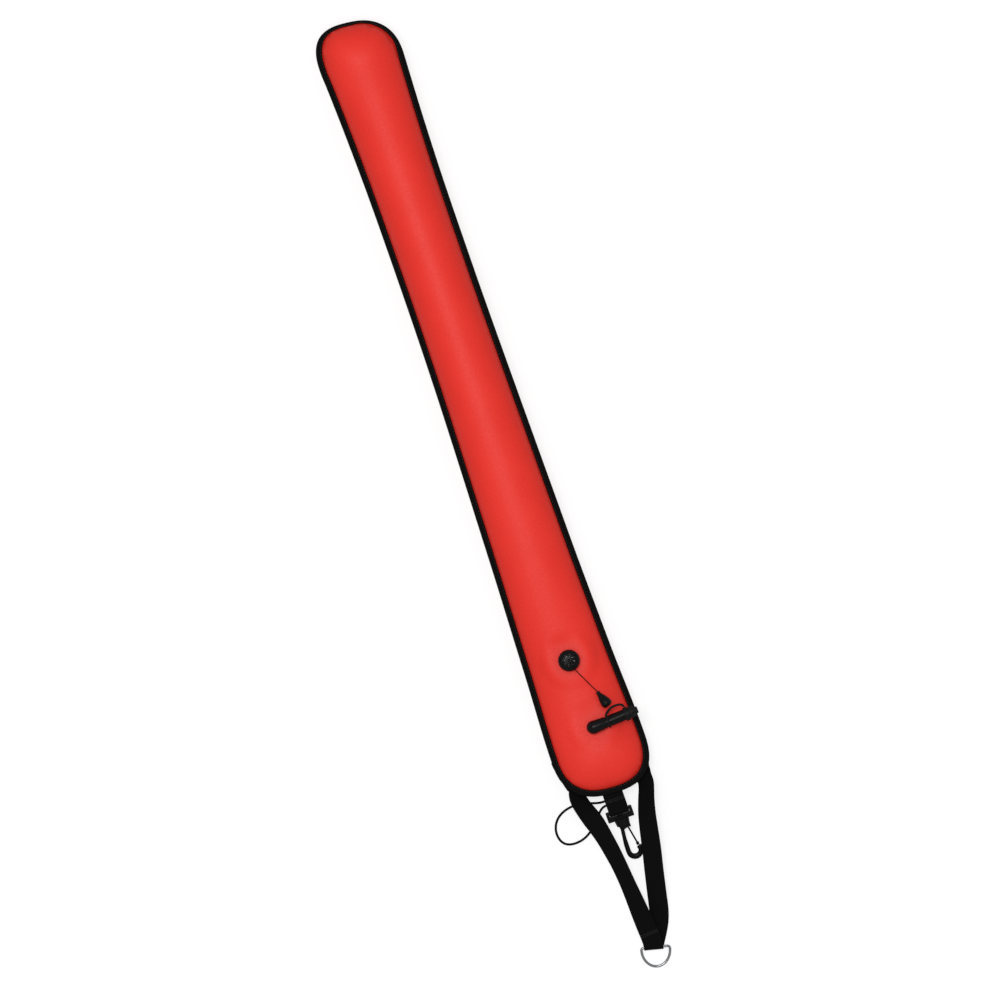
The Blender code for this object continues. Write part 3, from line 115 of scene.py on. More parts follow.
def node(tree, kind, inputs=None, output=0, **settings):
    """Adds a node, sets or links its inputs, and gives back one of its outputs."""
    made = tree.nodes.new(kind)
    for key, value in settings.items():
        setattr(made, key, value)
    for key, value in (inputs or {}).items():
        if isinstance(value, bpy.types.NodeSocket):
            tree.links.new(value, made.inputs[key])
        else:
            made.inputs[key].default_value = value
    return made.outputs[output]


def start_material(name, **values):
    """A material with its tree and its shader, and values on the shader's sockets."""
    made = bpy.data.materials.new(name)
    made.use_nodes = True
    shader = made.node_tree.nodes["Principled BSDF"]
    for key, value in values.items():
        shader.inputs[key.replace("_", " ")].default_value = value
    return made, made.node_tree, shader


def feed(tree, shader, **sources):
    """Links what a material's nodes give to sockets of its shader."""
    for key, source in sources.items():
        tree.links.new(source, shader.inputs[key.replace("_", " ")])


def threads(tree, distance, period):
    """A wave from -1 to 1 along a distance, both in millimetres."""
    angle = node(tree, "ShaderNodeMath", {0: distance, 1: 2 * math.pi / period},
                 operation="MULTIPLY")
    return node(tree, "ShaderNodeMath", {0: angle}, operation="SINE")


print("half grey in linear light:", round(linear("#808080")[0], 3))

# %% [markdown]
# The tube is nylon in a plain weave, dyed red and coated with a thin film of polyurethane. The film
# gives it a soft, broad gloss over a saturated colour, and the weave is just felt through it. The
# weave runs with the cut panel, so it is drawn from a UV map that holds millimetres on the flat
# cloth. Real threads are 0.25 mm apart, and they are drawn at twice that so that they show.

# %% Coated nylon
THREAD = 0.5


def cloth_places(tree):
    """The place in a cloth's UV map, in millimetres, and its parts across and along."""
    place = node(tree, "ShaderNodeUVMap", uv_map="cloth")
    return place, *[node(tree, "ShaderNodeSeparateXYZ", {0: place}, part) for part in (0, 1)]


NYLON, tree, shader = start_material("coated_nylon", IOR=1.42)
cloth, across, along = cloth_places(tree)
weave = node(tree, "ShaderNodeMath", {0: threads(tree, across, 2 * THREAD),
                                      1: threads(tree, along, 2 * THREAD)}, operation="MULTIPLY")
dye_lots = node(tree, "ShaderNodeTexNoise", {"Vector": cloth, "Scale": 0.018, "Detail": 4.0})
slubs = node(tree, "ShaderNodeTexNoise", {"Vector": cloth, "Scale": 0.35, "Detail": 3.0})
unevenness = node(tree, "ShaderNodeMath", {0: dye_lots, 1: slubs}, operation="ADD")
share = node(tree, "ShaderNodeMapRange", {"Value": unevenness, "From Min": 0.75, "From Max": 1.25})
red = node(tree, "ShaderNodeMix", {0: share, 6: linear("#EA2B1C"), 7: linear("#E42617")}, 2,
           data_type="RGBA")
film = node(tree, "ShaderNodeMapRange", {"Value": slubs, "From Min": 0.3, "From Max": 0.7,
                                         "To Min": 0.5, "To Max": 0.6})
woven = node(tree, "ShaderNodeBump", {"Height": weave, "Strength": 0.35, "Distance": 0.03 * MM})
uneven = node(tree, "ShaderNodeBump", {"Height": dye_lots, "Strength": 0.3, "Distance": 0.6 * MM,
                                       "Normal": woven})
feed(tree, shader, Base_Color=red, Roughness=film, Normal=uneven)
print(NYLON.name, "with", THREAD, "mm between threads")

# %% [markdown]
# The binding, the webbing, the bungee's sheath and the thin cord are black polyester. All of them
# are dull and they pick up lint. Their colour is painted paler where the thread stands up and
# darker between: a painted highlight and a painted shade of the weave. They share one start and
# differ in their relief: ribs across the binding tape, narrow chevrons along the webbing and
# crossing strands round a cord. All of it is drawn in the piece's own UV map, in millimetres.

# %% Black cloth

def black_cloth(name, roughness):
    """A dull black material, with the places across and along it, and its lint."""
    made, tree, shader = start_material(name, Roughness=roughness, Specular_IOR_Level=0.08)
    cloth, across, along = cloth_places(tree)
    lint = node(tree, "ShaderNodeTexNoise", {"Vector": cloth, "Scale": 0.7, "Detail": 5.0})
    return made, tree, shader, across, along, lint


def finish_cloth(tree, shader, relief, lint, dark, pale, depth):
    """Colour by the relief, with painted shade where it sinks and a painted highlight where it
    stands up, and by the lint, and the relief itself, its depth in millimetres.
    """
    # painted shade and highlight: darker where the relief sinks, paler where it stands up
    painted_weave_shade = node(tree, "ShaderNodeMapRange", {"Value": relief, "From Min": -1.3, "From Max": 1.3,
                                               "To Max": 0.55})
    dusty = node(tree, "ShaderNodeMapRange", {"Value": lint, "From Min": 0.42, "From Max": 0.75,
                                              "To Max": 0.35})
    # the painted weave shade plus the real lint
    share = node(tree, "ShaderNodeMath", {0: painted_weave_shade, 1: dusty}, operation="ADD")
    colour = node(tree, "ShaderNodeMix", {0: share, 6: linear(dark), 7: linear(pale)}, 2,
                  data_type="RGBA")
    bump = node(tree, "ShaderNodeBump", {"Height": relief, "Strength": 0.7,
                                         "Distance": depth * MM})
    feed(tree, shader, Base_Color=colour, Normal=bump)


print("black cloth starts from a dull shader")

# %% Binding tape, webbing and braid
RIB = 1.3
WARP = 0.7
TAPE_CLOTH, tree, shader, across, along, lint = black_cloth("binding_tape", 0.75)
warp = node(tree, "ShaderNodeMath", {0: threads(tree, across, WARP), 1: 0.3},
            operation="MULTIPLY")
relief = node(tree, "ShaderNodeMath", {0: threads(tree, along, RIB), 1: warp}, operation="ADD")
# the darker colour is the painted shade in the weave's hollows; the paler one is the painted
# highlight on raised threads, and the lint
finish_cloth(tree, shader, relief, lint, "#020202", "#0D0C0C", 0.14)

CHEVRON = 3.05
FLOAT = 1.7
WEBBING_CLOTH, tree, shader, across, along, lint = black_cloth("webbing", 0.8)
folded = node(tree, "ShaderNodeMath", {0: across, 1: CHEVRON}, operation="PINGPONG")
slanted = node(tree, "ShaderNodeMath", {0: folded, 1: 0.6, 2: along}, operation="MULTIPLY_ADD")
bands = node(tree, "ShaderNodeMath", {0: threads(tree, across, CHEVRON), 1: 0.4},
             operation="MULTIPLY")
relief = node(tree, "ShaderNodeMath", {0: threads(tree, slanted, FLOAT), 1: bands},
              operation="ADD")
# the darker colour is the painted shade in the weave's hollows; the paler one is the painted
# highlight on raised threads, and the lint
finish_cloth(tree, shader, relief, lint, "#020202", "#0B0A0A", 0.18)

STRAND = 1.2
BRAID, tree, shader, across, along, lint = black_cloth("braided_sheath", 0.7)
ways = [node(tree, "ShaderNodeMath", {0: along, 1: across}, operation=way)
        for way in ("ADD", "SUBTRACT")]
relief = node(tree, "ShaderNodeMath", {0: threads(tree, ways[0], STRAND),
                                       1: threads(tree, ways[1], STRAND)}, operation="MULTIPLY")
# the darker colour is the painted shade between strands; the paler one is the painted highlight on
# raised strands, and the lint
finish_cloth(tree, shader, relief, lint, "#030303", "#100F0F", 0.15)
print("periods in mm:", RIB, FLOAT, STRAND)

# %% [markdown]
# The sewing thread is bonded nylon, twisted and slightly shiny, so that black stitches show on
# black cloth. A stitch is too small for a UV map, so its twist is noise in the object's own space.

# %% Sewing thread
THREAD_NYLON, tree, shader = start_material("bonded_thread", Roughness=0.45)
place = node(tree, "ShaderNodeTexCoord", output=3)
twist = node(tree, "ShaderNodeTexNoise", {"Vector": place, "Scale": 2500.0, "Detail": 2.0})
dark = node(tree, "ShaderNodeMix", {0: twist, 6: linear("#0B0A0A"), 7: linear("#292727")}, 2,
            data_type="RGBA")
bump = node(tree, "ShaderNodeBump", {"Height": twist, "Strength": 0.5, "Distance": 0.05 * MM})
feed(tree, shader, Base_Color=dark, Normal=bump)
print(THREAD_NYLON.name)

# %% [markdown]
# The valves and the snap are injection-moulded black nylon, or acetal, in a steel mould with an
# eroded surface: a fine grain, broken by marks of handling where the gloss is higher. The cap and
# its strap are soft rubber, matt and a little greyed by dust. Moulded pieces have no UV map, so
# the grain is in the object's own space, and its size is given in millimetres.

# %% Moulded plastic and rubber

def moulded(name, dark, pale, glossy, matt, grain_size, depth):
    """A moulded black surface, with a grain of a size and depth in millimetres."""
    made, tree, shader = start_material(name, IOR=1.5, Specular_IOR_Level=0.11)
    place = node(tree, "ShaderNodeTexCoord", output=3)
    grain = node(tree, "ShaderNodeTexNoise", {"Vector": place, "Scale": 1 / (grain_size * MM),
                                              "Detail": 2.0})
    marks = node(tree, "ShaderNodeTexNoise", {"Vector": place, "Scale": 260.0, "Detail": 5.0})
    worn = node(tree, "ShaderNodeMapRange", {"Value": marks, "From Min": 0.35, "From Max": 0.65})
    colour = node(tree, "ShaderNodeMix", {0: worn, 6: linear(dark), 7: linear(pale)}, 2,
                  data_type="RGBA")
    gloss = node(tree, "ShaderNodeMapRange", {"Value": marks, "From Min": 0.35, "From Max": 0.65,
                                              "To Min": glossy, "To Max": matt})
    bump = node(tree, "ShaderNodeBump", {"Height": grain, "Strength": 0.5, "Distance": depth * MM})
    feed(tree, shader, Base_Color=colour, Roughness=gloss, Normal=bump)
    return made


PLASTIC = moulded("moulded_nylon", "#040404", "#0B0A0B", glossy=0.22, matt=0.36,
                  grain_size=0.35, depth=0.02)
CAP_RUBBER = moulded("cap_rubber", "#080808", "#161515", glossy=0.42, matt=0.6,
                     grain_size=0.5, depth=0.05)
SEAL_RUBBER = moulded("seal_rubber", "#161616", "#262626", glossy=0.4, matt=0.55,
                      grain_size=0.3, depth=0.02)
print("moulded:", PLASTIC.name, CAP_RUBBER.name, SEAL_RUBBER.name)

# %% [markdown]
# The ring and the springs are stainless wire. Drawing the wire leaves fine lines in a bright,
# even grey, and tumbling brings it to a polish that fine scratches break up.

# %% Stainless steel
STEEL, tree, shader = start_material("stainless_steel", Metallic=1.0)
place = node(tree, "ShaderNodeTexCoord", output=3)
drawn = node(tree, "ShaderNodeTexNoise", {"Vector": place, "Scale": 1300.0, "Detail": 5.0})
rubbed = node(tree, "ShaderNodeTexNoise", {"Vector": place, "Scale": 300.0, "Detail": 4.0})
colour = node(tree, "ShaderNodeMix", {0: drawn, 6: linear("#5F6164"), 7: linear("#9A9C9F")}, 2,
              data_type="RGBA")
polish = node(tree, "ShaderNodeMapRange", {"Value": rubbed, "From Min": 0.35, "From Max": 0.65,
                                           "To Min": 0.08, "To Max": 0.2})
bump = node(tree, "ShaderNodeBump", {"Height": drawn, "Strength": 0.25, "Distance": 0.02 * MM})
feed(tree, shader, Base_Color=colour, Roughness=polish, Normal=bump)
print(STEEL.name)

# %% [markdown]
# The buoy lies on a white table under a bright even sky and one soft box, which lays a highlight
# along its crown and puts a glint on what is moulded, and its sides darken gently. Table and sky
# glow for the rays that see them, and less for those that mirror them. That keeps them white in
# the picture and pale in the steel, without a haze on the dark pieces, and the table still takes
# a shadow.

# %% Table, world and soft box
MIRRORED = 0.4        # share of the white that a surface mirrors


def seen_as_background(tree, low, high):
    """A strength that is low for diffuse light, high where seen and between where mirrored."""
    camera, glossy, through = [node(tree, "ShaderNodeLightPath", output=k) for k in (0, 3, 6)]
    seen = node(tree, "ShaderNodeMath", {0: camera, 1: through}, operation="MAXIMUM")
    part = node(tree, "ShaderNodeMath", {0: glossy, 1: MIRRORED}, operation="MULTIPLY")
    some = node(tree, "ShaderNodeMath", {0: seen, 1: part}, operation="MAXIMUM")
    return node(tree, "ShaderNodeMapRange", {"Value": some, "To Min": low, "To Max": high})


TABLE_SIZE = 60.0
TABLE_TOP = -0.2 * MM
TABLE_GLOW = 0.78
bpy.ops.mesh.primitive_plane_add(size=TABLE_SIZE, location=(0, 0, TABLE_TOP))
table = bpy.context.object
table.name = "white_table"
WHITE_TABLE, tree, shader = start_material(
    "white_table", Roughness=0.9, Specular_IOR_Level=0.0, Base_Color=linear("#8C8C8C"),
    Emission_Color=linear("#FFFFFF"))
feed(tree, shader, Emission_Strength=seen_as_background(tree, 0.0, TABLE_GLOW))
table.data.materials.append(WHITE_TABLE)

FILL = 0.6
world = bpy.data.worlds.new("studio")
world.use_nodes = True
bpy.context.scene.world = world
tree = world.node_tree
background = tree.nodes["Background"]
background.inputs["Color"].default_value = linear("#FFFFFF")
feed(tree, background, Strength=seen_as_background(tree, FILL, 1.0))

BOX_SIZE = 1.4
BOX_POWER = 84.0
BOX_PLACE = (-0.45, 0.35, 4.5)
light_data = bpy.data.lights.new("soft_box", "AREA")
light_data.shape = "SQUARE"
light_data.size = BOX_SIZE
light_data.energy = BOX_POWER
soft_box = in_scene("soft_box", light_data)
soft_box.location = BOX_PLACE
soft_box.visible_camera = False
bpy.context.scene.view_settings.view_transform = "Standard"
print("soft box of", BOX_SIZE, "m at", BOX_POWER, "W")

# %% [markdown]
# Every route on the buoy is a line of points. A cord's or a strap's is a short list of given
# places, with a smooth line through them, read again at even steps, so that what is drawn on it
# has faces of one size. These helpers also measure along a line and give its directions.

# %% Lines

def smooth_line(points, per_span):
    """Catmull-Rom points through the given rows, a fixed number to each span."""
    rows = np.array(points, float)
    rows = np.vstack([2 * rows[0] - rows[1], rows, 2 * rows[-1] - rows[-2]])
    made = []
    for before, start, end, after in zip(rows, rows[1:], rows[2:], rows[3:]):
        for t in np.arange(per_span) / per_span:
            made.append(0.5 * (2 * start + (end - before) * t
                               + (2 * before - 5 * start + 4 * end - after) * t * t
                               + (3 * start - before - 3 * end + after) * t ** 3))
    return np.array([*made, rows[-2]])


def run_along(line):
    """Distance along a line at each of its points, or along each row of points of a grid."""
    steps = np.linalg.norm(np.diff(line, axis=-2), axis=-1)
    return np.concatenate([np.zeros_like(steps[..., :1]), np.cumsum(steps, axis=-1)], axis=-1)


def length_of(line):
    """A line's whole length."""
    return float(run_along(line)[-1])


def read_at(rows, run, places):
    """Rows that go with a run, read at other places on it."""
    return np.stack([np.interp(places, run, column) for column in rows.T], axis=1)


def closed_up(line):
    """A closed line, with its first point once more at its end."""
    return np.vstack([line, line[:1]])


def evenly(line, spacing, closed=False):
    """The same line, read at points an equal distance apart."""
    line = closed_up(line) if closed else line
    run = run_along(line)
    count = max(2, round(run[-1] / spacing))
    made = read_at(line, run, np.linspace(0, run[-1], count + 1))
    return made[:-1] if closed else made


def unit(rows):
    """Each row at length 1."""
    return rows / np.linalg.norm(rows, axis=-1, keepdims=True)


def headings(line):
    """Unit direction of a line at each of its points."""
    return unit(np.gradient(line, axis=0))


def steady_sides(line):
    """Sideways directions along a line that turn as little as they can."""
    ahead = headings(line)
    side = np.cross(ahead[0], (0, 0, 1.0))
    if np.linalg.norm(side) < 0.1:
        side = np.cross(ahead[0], (1.0, 0, 0))
    made = []
    for way in ahead:
        side = unit(side - way * side.dot(way))
        made.append(side)
    return np.array(made)


print("steps of 1 mm along 10 mm:", len(evenly(np.array([(0, 0, 0), (10, 0, 0)]) * MM, MM)) - 1)

# %% [markdown]
# Straps, cords, the binding and the skins over two mouldings are all one section drawn along a
# line, so one function makes them. It lays a ring of points at every station, joins the rings and
# writes a UV map in millimetres, round the section and along the line. A curve with a bevel would
# be shorter, but its UVs aren't in millimetres and a flat strap can't be rolled on it point by
# point.

# %% Drawing a section along a line
SHARP = math.radians(50)


def cloth_mesh(name, points, faces, uvs):
    """A mesh with the UV map of a cloth, which has a row for each corner of each face."""
    mesh = bpy.data.meshes.new(name)
    mesh.from_pydata(points.reshape(-1, 3).tolist(), [], faces)
    mesh.uv_layers.new(name="cloth").data.foreach_set("uv", uvs.ravel())
    return mesh


def drawn_out(name, line, sides, ups, section, closed=False):
    """Mesh object of a closed section drawn along a line, with its ends capped."""
    count, width = len(line), section.shape[-2]
    section = np.broadcast_to(section, (count, width, 2))
    points = line[:, None] + sides[:, None] * section[..., :1] + ups[:, None] * section[..., 1:]
    spans = count if closed else count - 1
    rows, columns = np.meshgrid(np.arange(spans), np.arange(width), indexing="ij")
    after, beside = (rows + 1) % count, (columns + 1) % width
    faces = np.stack([rows * width + columns, rows * width + beside,
                      after * width + beside, after * width + columns], axis=-1).reshape(-1, 4)
    round_it = run_along(closed_up(section[0])) / MM
    run = run_along(closed_up(line)) / MM
    uvs = np.stack([np.stack([round_it[columns + i], run[rows + j]], axis=-1)
                    for i, j in ((0, 0), (1, 0), (1, 1), (0, 1))], axis=-2).reshape(-1, 2)
    faces = faces.tolist()
    if not closed:
        faces += [list(range(width))[::-1], list(range((count - 1) * width, count * width))]
        uvs = np.vstack([uvs, np.zeros((2 * width, 2))])
    return finished(name, cloth_mesh(name, points, faces, uvs))


def finished(name, mesh):
    """An object round a mesh, its faces outwards, smooth except at sharp edges."""
    shape = bmesh.new()
    shape.from_mesh(mesh)
    bmesh.ops.recalc_face_normals(shape, faces=shape.faces)
    shape.to_mesh(mesh)
    shape.free()
    mesh.shade_smooth()
    mesh.set_sharp_from_angle(angle=SHARP)
    return in_scene(name, mesh)


def joined(first, second):
    """The first object with the mesh of the second in its own, and the second gone."""
    shape = bmesh.new()
    shape.from_mesh(first.data)
    shape.from_mesh(second.data)
    shape.to_mesh(first.data)
    shape.free()
    bpy.data.objects.remove(second)
    return first


def round_section(radius, sides):
    """Points of a circle, as a section."""
    angles = np.linspace(0, 2 * math.pi, sides, endpoint=False)
    return radius * np.stack([np.cos(angles), np.sin(angles)], axis=-1)


print("a section of 16 points:", round_section(1.0, 16).shape)

# %% [markdown]
# The bungee is shock cord: rubber strands in a braided sheath, 3 mm thick. It leaves the stitching
# of the tail loop, runs out under the left leg of the bridle, turns back on the ground in a loop
# about 40 mm across and ends in the same stitching. The photograph shows all of it. The pull cord
# is a thin braid from the valve's stem to its toggle, lying on the panel. Both are drawn as round
# tubes along their routes, and a UV map in millimetres gives both braids strands of one width.

# %% Bungee and pull cord
BUNGEE_RADIUS = 1.5 * MM
# x, distance below the foot, height, in millimetres
BUNGEE_ROUTE = ((-16.4, 6.0, 21.4), (-20.0, 6.0, 20.9), (-25.2, 5.2, 17.6), (-31.4, 3.4, 12.6),
                (-38.4, 1.2, 8.2), (-46.6, -0.6, 4.6), (-56.4, -1.0, 2.2), (-67.4, 1.2, 1.6),
                (-76.2, 5.8, 1.6), (-82.2, 12.2, 1.6), (-85.5, 19.9, 1.6), (-86.1, 27.8, 1.6),
                (-84.1, 35.4, 1.6), (-79.4, 40.9, 1.6), (-72.3, 43.6, 1.6), (-64.0, 43.8, 1.6),
                (-55.7, 41.9, 2.0), (-47.8, 37.9, 3.8), (-40.2, 32.1, 7.4), (-33.0, 25.4, 12.0),
                (-27.0, 17.6, 16.2), (-21.8, 13.2, 18.6), (-16.4, 11.6, 19.6))


def below_foot(rows):
    """Rows of x, distance below the foot and height in millimetres, as points in metres."""
    rows = np.array(rows, float) * MM
    rows[:, 1] = FOOT_Y - rows[:, 1]
    return rows


def round_cord(name, line, radius, material, sides):
    """A round cord along a line."""
    across = steady_sides(line)
    ups = np.cross(headings(line), across)
    made = drawn_out(name, line, across, ups, round_section(radius, sides))
    made.data.materials.append(material)
    return made


bungee_line = evenly(smooth_line(below_foot(BUNGEE_ROUTE), 24), 1.2 * MM)
bungee = round_cord("bungee", bungee_line, BUNGEE_RADIUS, BRAID, 18)
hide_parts("bungee_loop")
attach(bungee, "tube")

CORD_RADIUS = 0.6 * MM
# x, y, height, in millimetres: the eyelet, the fall over the cap, the panel, the toggle's neck
CORD_ROUTE = ((-0.6, -334.4, 71.67), (-0.6, -334.4, 74.72), (-0.1, -336.1, 76.22),
              (0.8, -339.1, 75.52), (1.8, -342.7, 73.52), (2.6, -345.9, 71.52),
              (3.5, -349.1, 67.52), (5.0, -352.5, 62.52), (7.4, -357.3, 58.5),
              (10.6, -363.7, 57.24), (13.8, -370.1, 56.4), (16.6, -375.9, 55.58),
              (19.12, -380.64, 57.1), (19.8, -382.52, 57.24))
cord_line = evenly(smooth_line(np.array(CORD_ROUTE) * MM, 24), 0.8 * MM)
pull_line = round_cord("pull_line", cord_line, CORD_RADIUS, BRAID, 12)
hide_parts("pull_cord")
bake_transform(pull_line)
print("bungee", round(length_of(bungee_line), 4), "m, pull cord", round(length_of(cord_line), 4))

# %% [markdown]
# The tube's shape follows a rule. Each panel is 124 mm wide when flat, whatever the width of the
# blown-up tube, so where the tube is narrow it stands taller: its crown is that of the ellipse
# with the panel's girth. The widths at five places come from the photograph, and the two ends are
# superellipses. These functions repeat the part's own, on whole arrays. A sewn tube is never quite
# true either: this one bows by 3 mm over its length, and its head and its foot are a little askew.

# %% The rule of the tube's shape
HALF_GIRTH = 124 * MM
FLANGE = 8.3 * MM
FABRIC = 0.8 * MM
TAPE = 0.9 * MM
GROUND_FLAT = 1.4 * MM
HEAD_END = (49.7 * MM, 2.6, 5.0 * MM)       # depth, exponent, welded edge
FOOT_END = (51.5 * MM, 2.55, 8.1 * MM)
HEAD_TIE = HEAD_Y - HEAD_END[2] - HEAD_END[0]
FOOT_TIE = FOOT_Y + FOOT_END[2] + FOOT_END[0]
SIDE_PLACES = np.array((0.0, 0.15, 0.31, 0.70, 1.0))
SIDE_WIDTHS = np.array((45.0, 40.2, 39.2, 44.3, 50.4)) * MM
WELD = FABRIC + CLEAR / 2
BINDING_HALF = WELD + CLEAR + TAPE
HEAD_STEEPER = 1.4        # how much more the sides lean where they meet the head
HALVINGS = 40


def eased(share):
    """A share held between 0 and 1, and eased at both ends."""
    t = np.clip(share, 0, 1)
    return t * t * (3 - 2 * t)


def half_width(y):
    """Half the chamber's width."""
    share = np.clip((HEAD_TIE - np.asarray(y, float)) / (HEAD_TIE - FOOT_TIE), 0, 1)
    slopes = np.gradient(SIDE_WIDTHS, SIDE_PLACES)
    slopes[0] *= HEAD_STEEPER
    slopes[-1] = 0.0
    i = np.clip(np.searchsorted(SIDE_PLACES, share) - 1, 0, len(SIDE_PLACES) - 2)
    span = SIDE_PLACES[i + 1] - SIDE_PLACES[i]
    t = (share - SIDE_PLACES[i]) / span
    return ((2 * t ** 3 - 3 * t ** 2 + 1) * SIDE_WIDTHS[i]
            + (t ** 3 - 2 * t ** 2 + t) * span * slopes[i]
            + (3 * t ** 2 - 2 * t ** 3) * SIDE_WIDTHS[i + 1]
            + (t ** 3 - t ** 2) * span * slopes[i + 1])


def crown(width):
    """Height of the crown over the weld, by halving the interval."""
    low, high = np.zeros_like(width), np.full_like(width, HALF_GIRTH)
    for _ in range(HALVINGS):
        height = (low + high) / 2
        girth = math.pi * (3 * (width + height)
                           - np.sqrt((3 * width + height) * (width + 3 * height))) / 2
        short = girth < HALF_GIRTH
        low, high = np.where(short, height, low), np.where(short, high, height)
    return low


def weld_z(y):
    """Height of the weld's plane over the ground."""
    return WELD + crown(half_width(y)) - GROUND_FLAT


print("crown at the waist:", round(float(crown(half_width(np.array([0.0])))[0]) / MM, 1), "mm")

# %% The lie of the tube
SIDE_SHIFT = 0.5 * MM
BOW = 2.6 * MM            # how much further to -X the foot lies
HEAD_SHIFT = 1.7 * MM
HEAD_DROP = 0.6 * MM
HEAD_SKEW = 0.11          # fall across the tube, for each metre of width
FOOT_SKEW = 0.055
FOOT_SPLAY = 0.038        # share by which the foot is wider
# where along the tube each change begins, and the length that it takes, negative towards the foot
BOW_RUN = (100 * MM, -470 * MM)
SPLAY_RUN = (-330 * MM, -120 * MM)
HEAD_RUN = (HEAD_TIE - 20 * MM, 75 * MM)
FOOT_RUN = (FOOT_TIE + 20 * MM, -70 * MM)


def askew(points):
    """Points of the true tube, moved to where the bowed tube has them."""
    x, y = points[..., 0], points[..., 1]
    bow, splay, head, foot = [eased((y - start) / length) for start, length
                              in (BOW_RUN, SPLAY_RUN, HEAD_RUN, FOOT_RUN)]
    moved = points.copy()
    moved[..., 0] = x * (1 + FOOT_SPLAY * splay) + SIDE_SHIFT - BOW * bow - HEAD_SHIFT * head
    moved[..., 1] = y - (HEAD_SKEW * x + HEAD_DROP) * head - FOOT_SKEW * x * foot
    return moved


foot_middle = askew(np.array([[0.0, FOOT_Y, 0.0]]))[0]
print("the foot's middle lies at x", round(float(foot_middle[0]) / MM, 1), "mm")

# %% Outline of the panels

def rounded_end(tie, end, sign, steps):
    """Rows of tie, weld and edge points round half of one end."""
    depth, power, flange = end
    angle = np.pi / 2 * np.arange(steps) / steps
    across, along = np.sin(angle) ** (2 / power), np.cos(angle) ** (2 / power)
    width = float(half_width(tie))
    zero = np.zeros(steps)
    return np.stack([np.stack([zero, zero + tie], -1),
                     np.stack([width * across, tie + sign * depth * along], -1),
                     np.stack([(width + FLANGE) * across,
                               tie + sign * (depth + flange) * along], -1)], 1)


def whole_outline(end_steps, side_steps):
    """Tie, weld and edge points all the way round, from the head's tip."""
    y = np.linspace(HEAD_TIE, FOOT_TIE, side_steps)
    width = half_width(y)
    zero = np.zeros_like(y)
    side = np.stack([np.stack([zero, y], -1), np.stack([width, y], -1),
                     np.stack([width + FLANGE, y], -1)], 1)
    right = np.concatenate([rounded_end(HEAD_TIE, HEAD_END, 1, end_steps), side,
                            rounded_end(FOOT_TIE, FOOT_END, -1, end_steps)[::-1]])
    left = right[1:-1][::-1] * np.array([-1, 1])
    return np.concatenate([right, left])


OUTLINE = whole_outline(end_steps=44, side_steps=300)
TIE, WELD_LINE, EDGE = OUTLINE[:, 0], OUTLINE[:, 1], OUTLINE[:, 2]
RIM_RUN = run_along(closed_up(WELD_LINE))
print("stations round the rim:", len(OUTLINE), "over", round(RIM_RUN[-1], 3), "m")

# %% [markdown]
# A flat panel can't close over a rounded end without spare cloth, so the weld puckers there, and a
# little along the sides as well. The puckers stand square to the weld, 11 to 31 mm apart, are
# deepest a few millimetres from it, and fade towards the crown. A cloth simulation would find
# them too, but not where the solid model needs the panel to be, so they are waves of unlike
# lengths, summed.

# %% Puckers along the weld
PUCKER_WAVES = (11, 14, 17.5, 23, 31)       # millimetres from one pucker to the next
WAVES_TOGETHER = 2.2                        # usual height of their sum
SWELLS = 7                                  # stronger and weaker stretches round the tube
PUCKER_REACH = 9 * MM                       # from the weld to the deepest place
SIDE_DEPTH = 0.16 * MM
END_DEPTH = 0.5 * MM                        # what the ends have beyond that


def puckers(seed, reach):
    """Depth of the puckers at each station, by distance from the weld in metres."""
    random = np.random.default_rng(seed)
    round_it = 2 * math.pi * RIM_RUN[:-1] / RIM_RUN[-1]
    counts = [int(RIM_RUN[-1] / (wave * MM)) for wave in PUCKER_WAVES]
    phases = random.uniform(0, 2 * math.pi, len(counts))
    wave = sum(np.cos(count * round_it + phase)
               for count, phase in zip(counts, phases)) / WAVES_TOGETHER
    swell = 0.6 + 0.4 * np.cos(SWELLS * round_it + phases[0])
    ends = np.clip((np.abs(WELD_LINE[:, 1]) - (HEAD_TIE - 60 * MM)) / (90 * MM), 0, 1)
    depth = (SIDE_DEPTH + END_DEPTH * ends) * swell * wave
    share = reach / PUCKER_REACH
    return depth[:, None] * share * np.exp(1 - share)


deepest = np.abs(puckers(4, np.full((1, 1), PUCKER_REACH))).max()
print("deepest pucker:", round(float(deepest) / MM, 2), "mm")

# %% [markdown]
# The valves are welded to a flat patch of the front panel. The flange of each lies under the
# cloth, and pulls it flat for a few millimetres round it. The panel blends from that flat back
# to its dome.

# %% Seats of the valves
VALVE_XY = np.array((-0.6 * MM, FOOT_Y + 175.1 * MM))
INFLATOR_XY = np.array((1.5 * MM, FOOT_Y + 86.4 * MM))
VALVE_SEAT = 58.1247 * MM
INFLATOR_SEAT = 53.7432 * MM
# place, height, flange's radius, hole's radius
SEATS = ((VALVE_XY, VALVE_SEAT, 15.0 * MM, 9.5 * MM),
         (INFLATOR_XY, INFLATOR_SEAT, 13.0 * MM, 6.3 * MM))
SEAT_MARGIN = 4.5 * MM
SEAT_BLEND = 20 * MM


def flatten_to_seats(points):
    """Pulls the points of the front panel to the flats round the valves."""
    for (x, y), height, radius, _ in SEATS:
        away = np.hypot(points[..., 0] - x, points[..., 1] - y) - radius - SEAT_MARGIN
        points[..., 2] += (height - points[..., 2]) * (1 - eased(away / SEAT_BLEND))


print("seats at", round(VALVE_SEAT / MM, 2), "and", round(INFLATOR_SEAT / MM, 2), "mm")

# %% [markdown]
# Each panel is a grid: one row of points for each station of the rim, running in over the weld
# and up to the crown. Its UV map is the flat cut: the distance over the cloth from the crown line,
# laid off in the direction of the row.

# %% Grid of a panel
CROWN_ROWS = np.radians(np.concatenate([np.linspace(0, 12, 7)[1:], np.linspace(12, 90, 36)[1:]]))
RIM_INSET = TAPE + CLEAR + 0.5 * MM
CROWN_FADE = 25 * MM        # the puckers have gone this far before the crown line


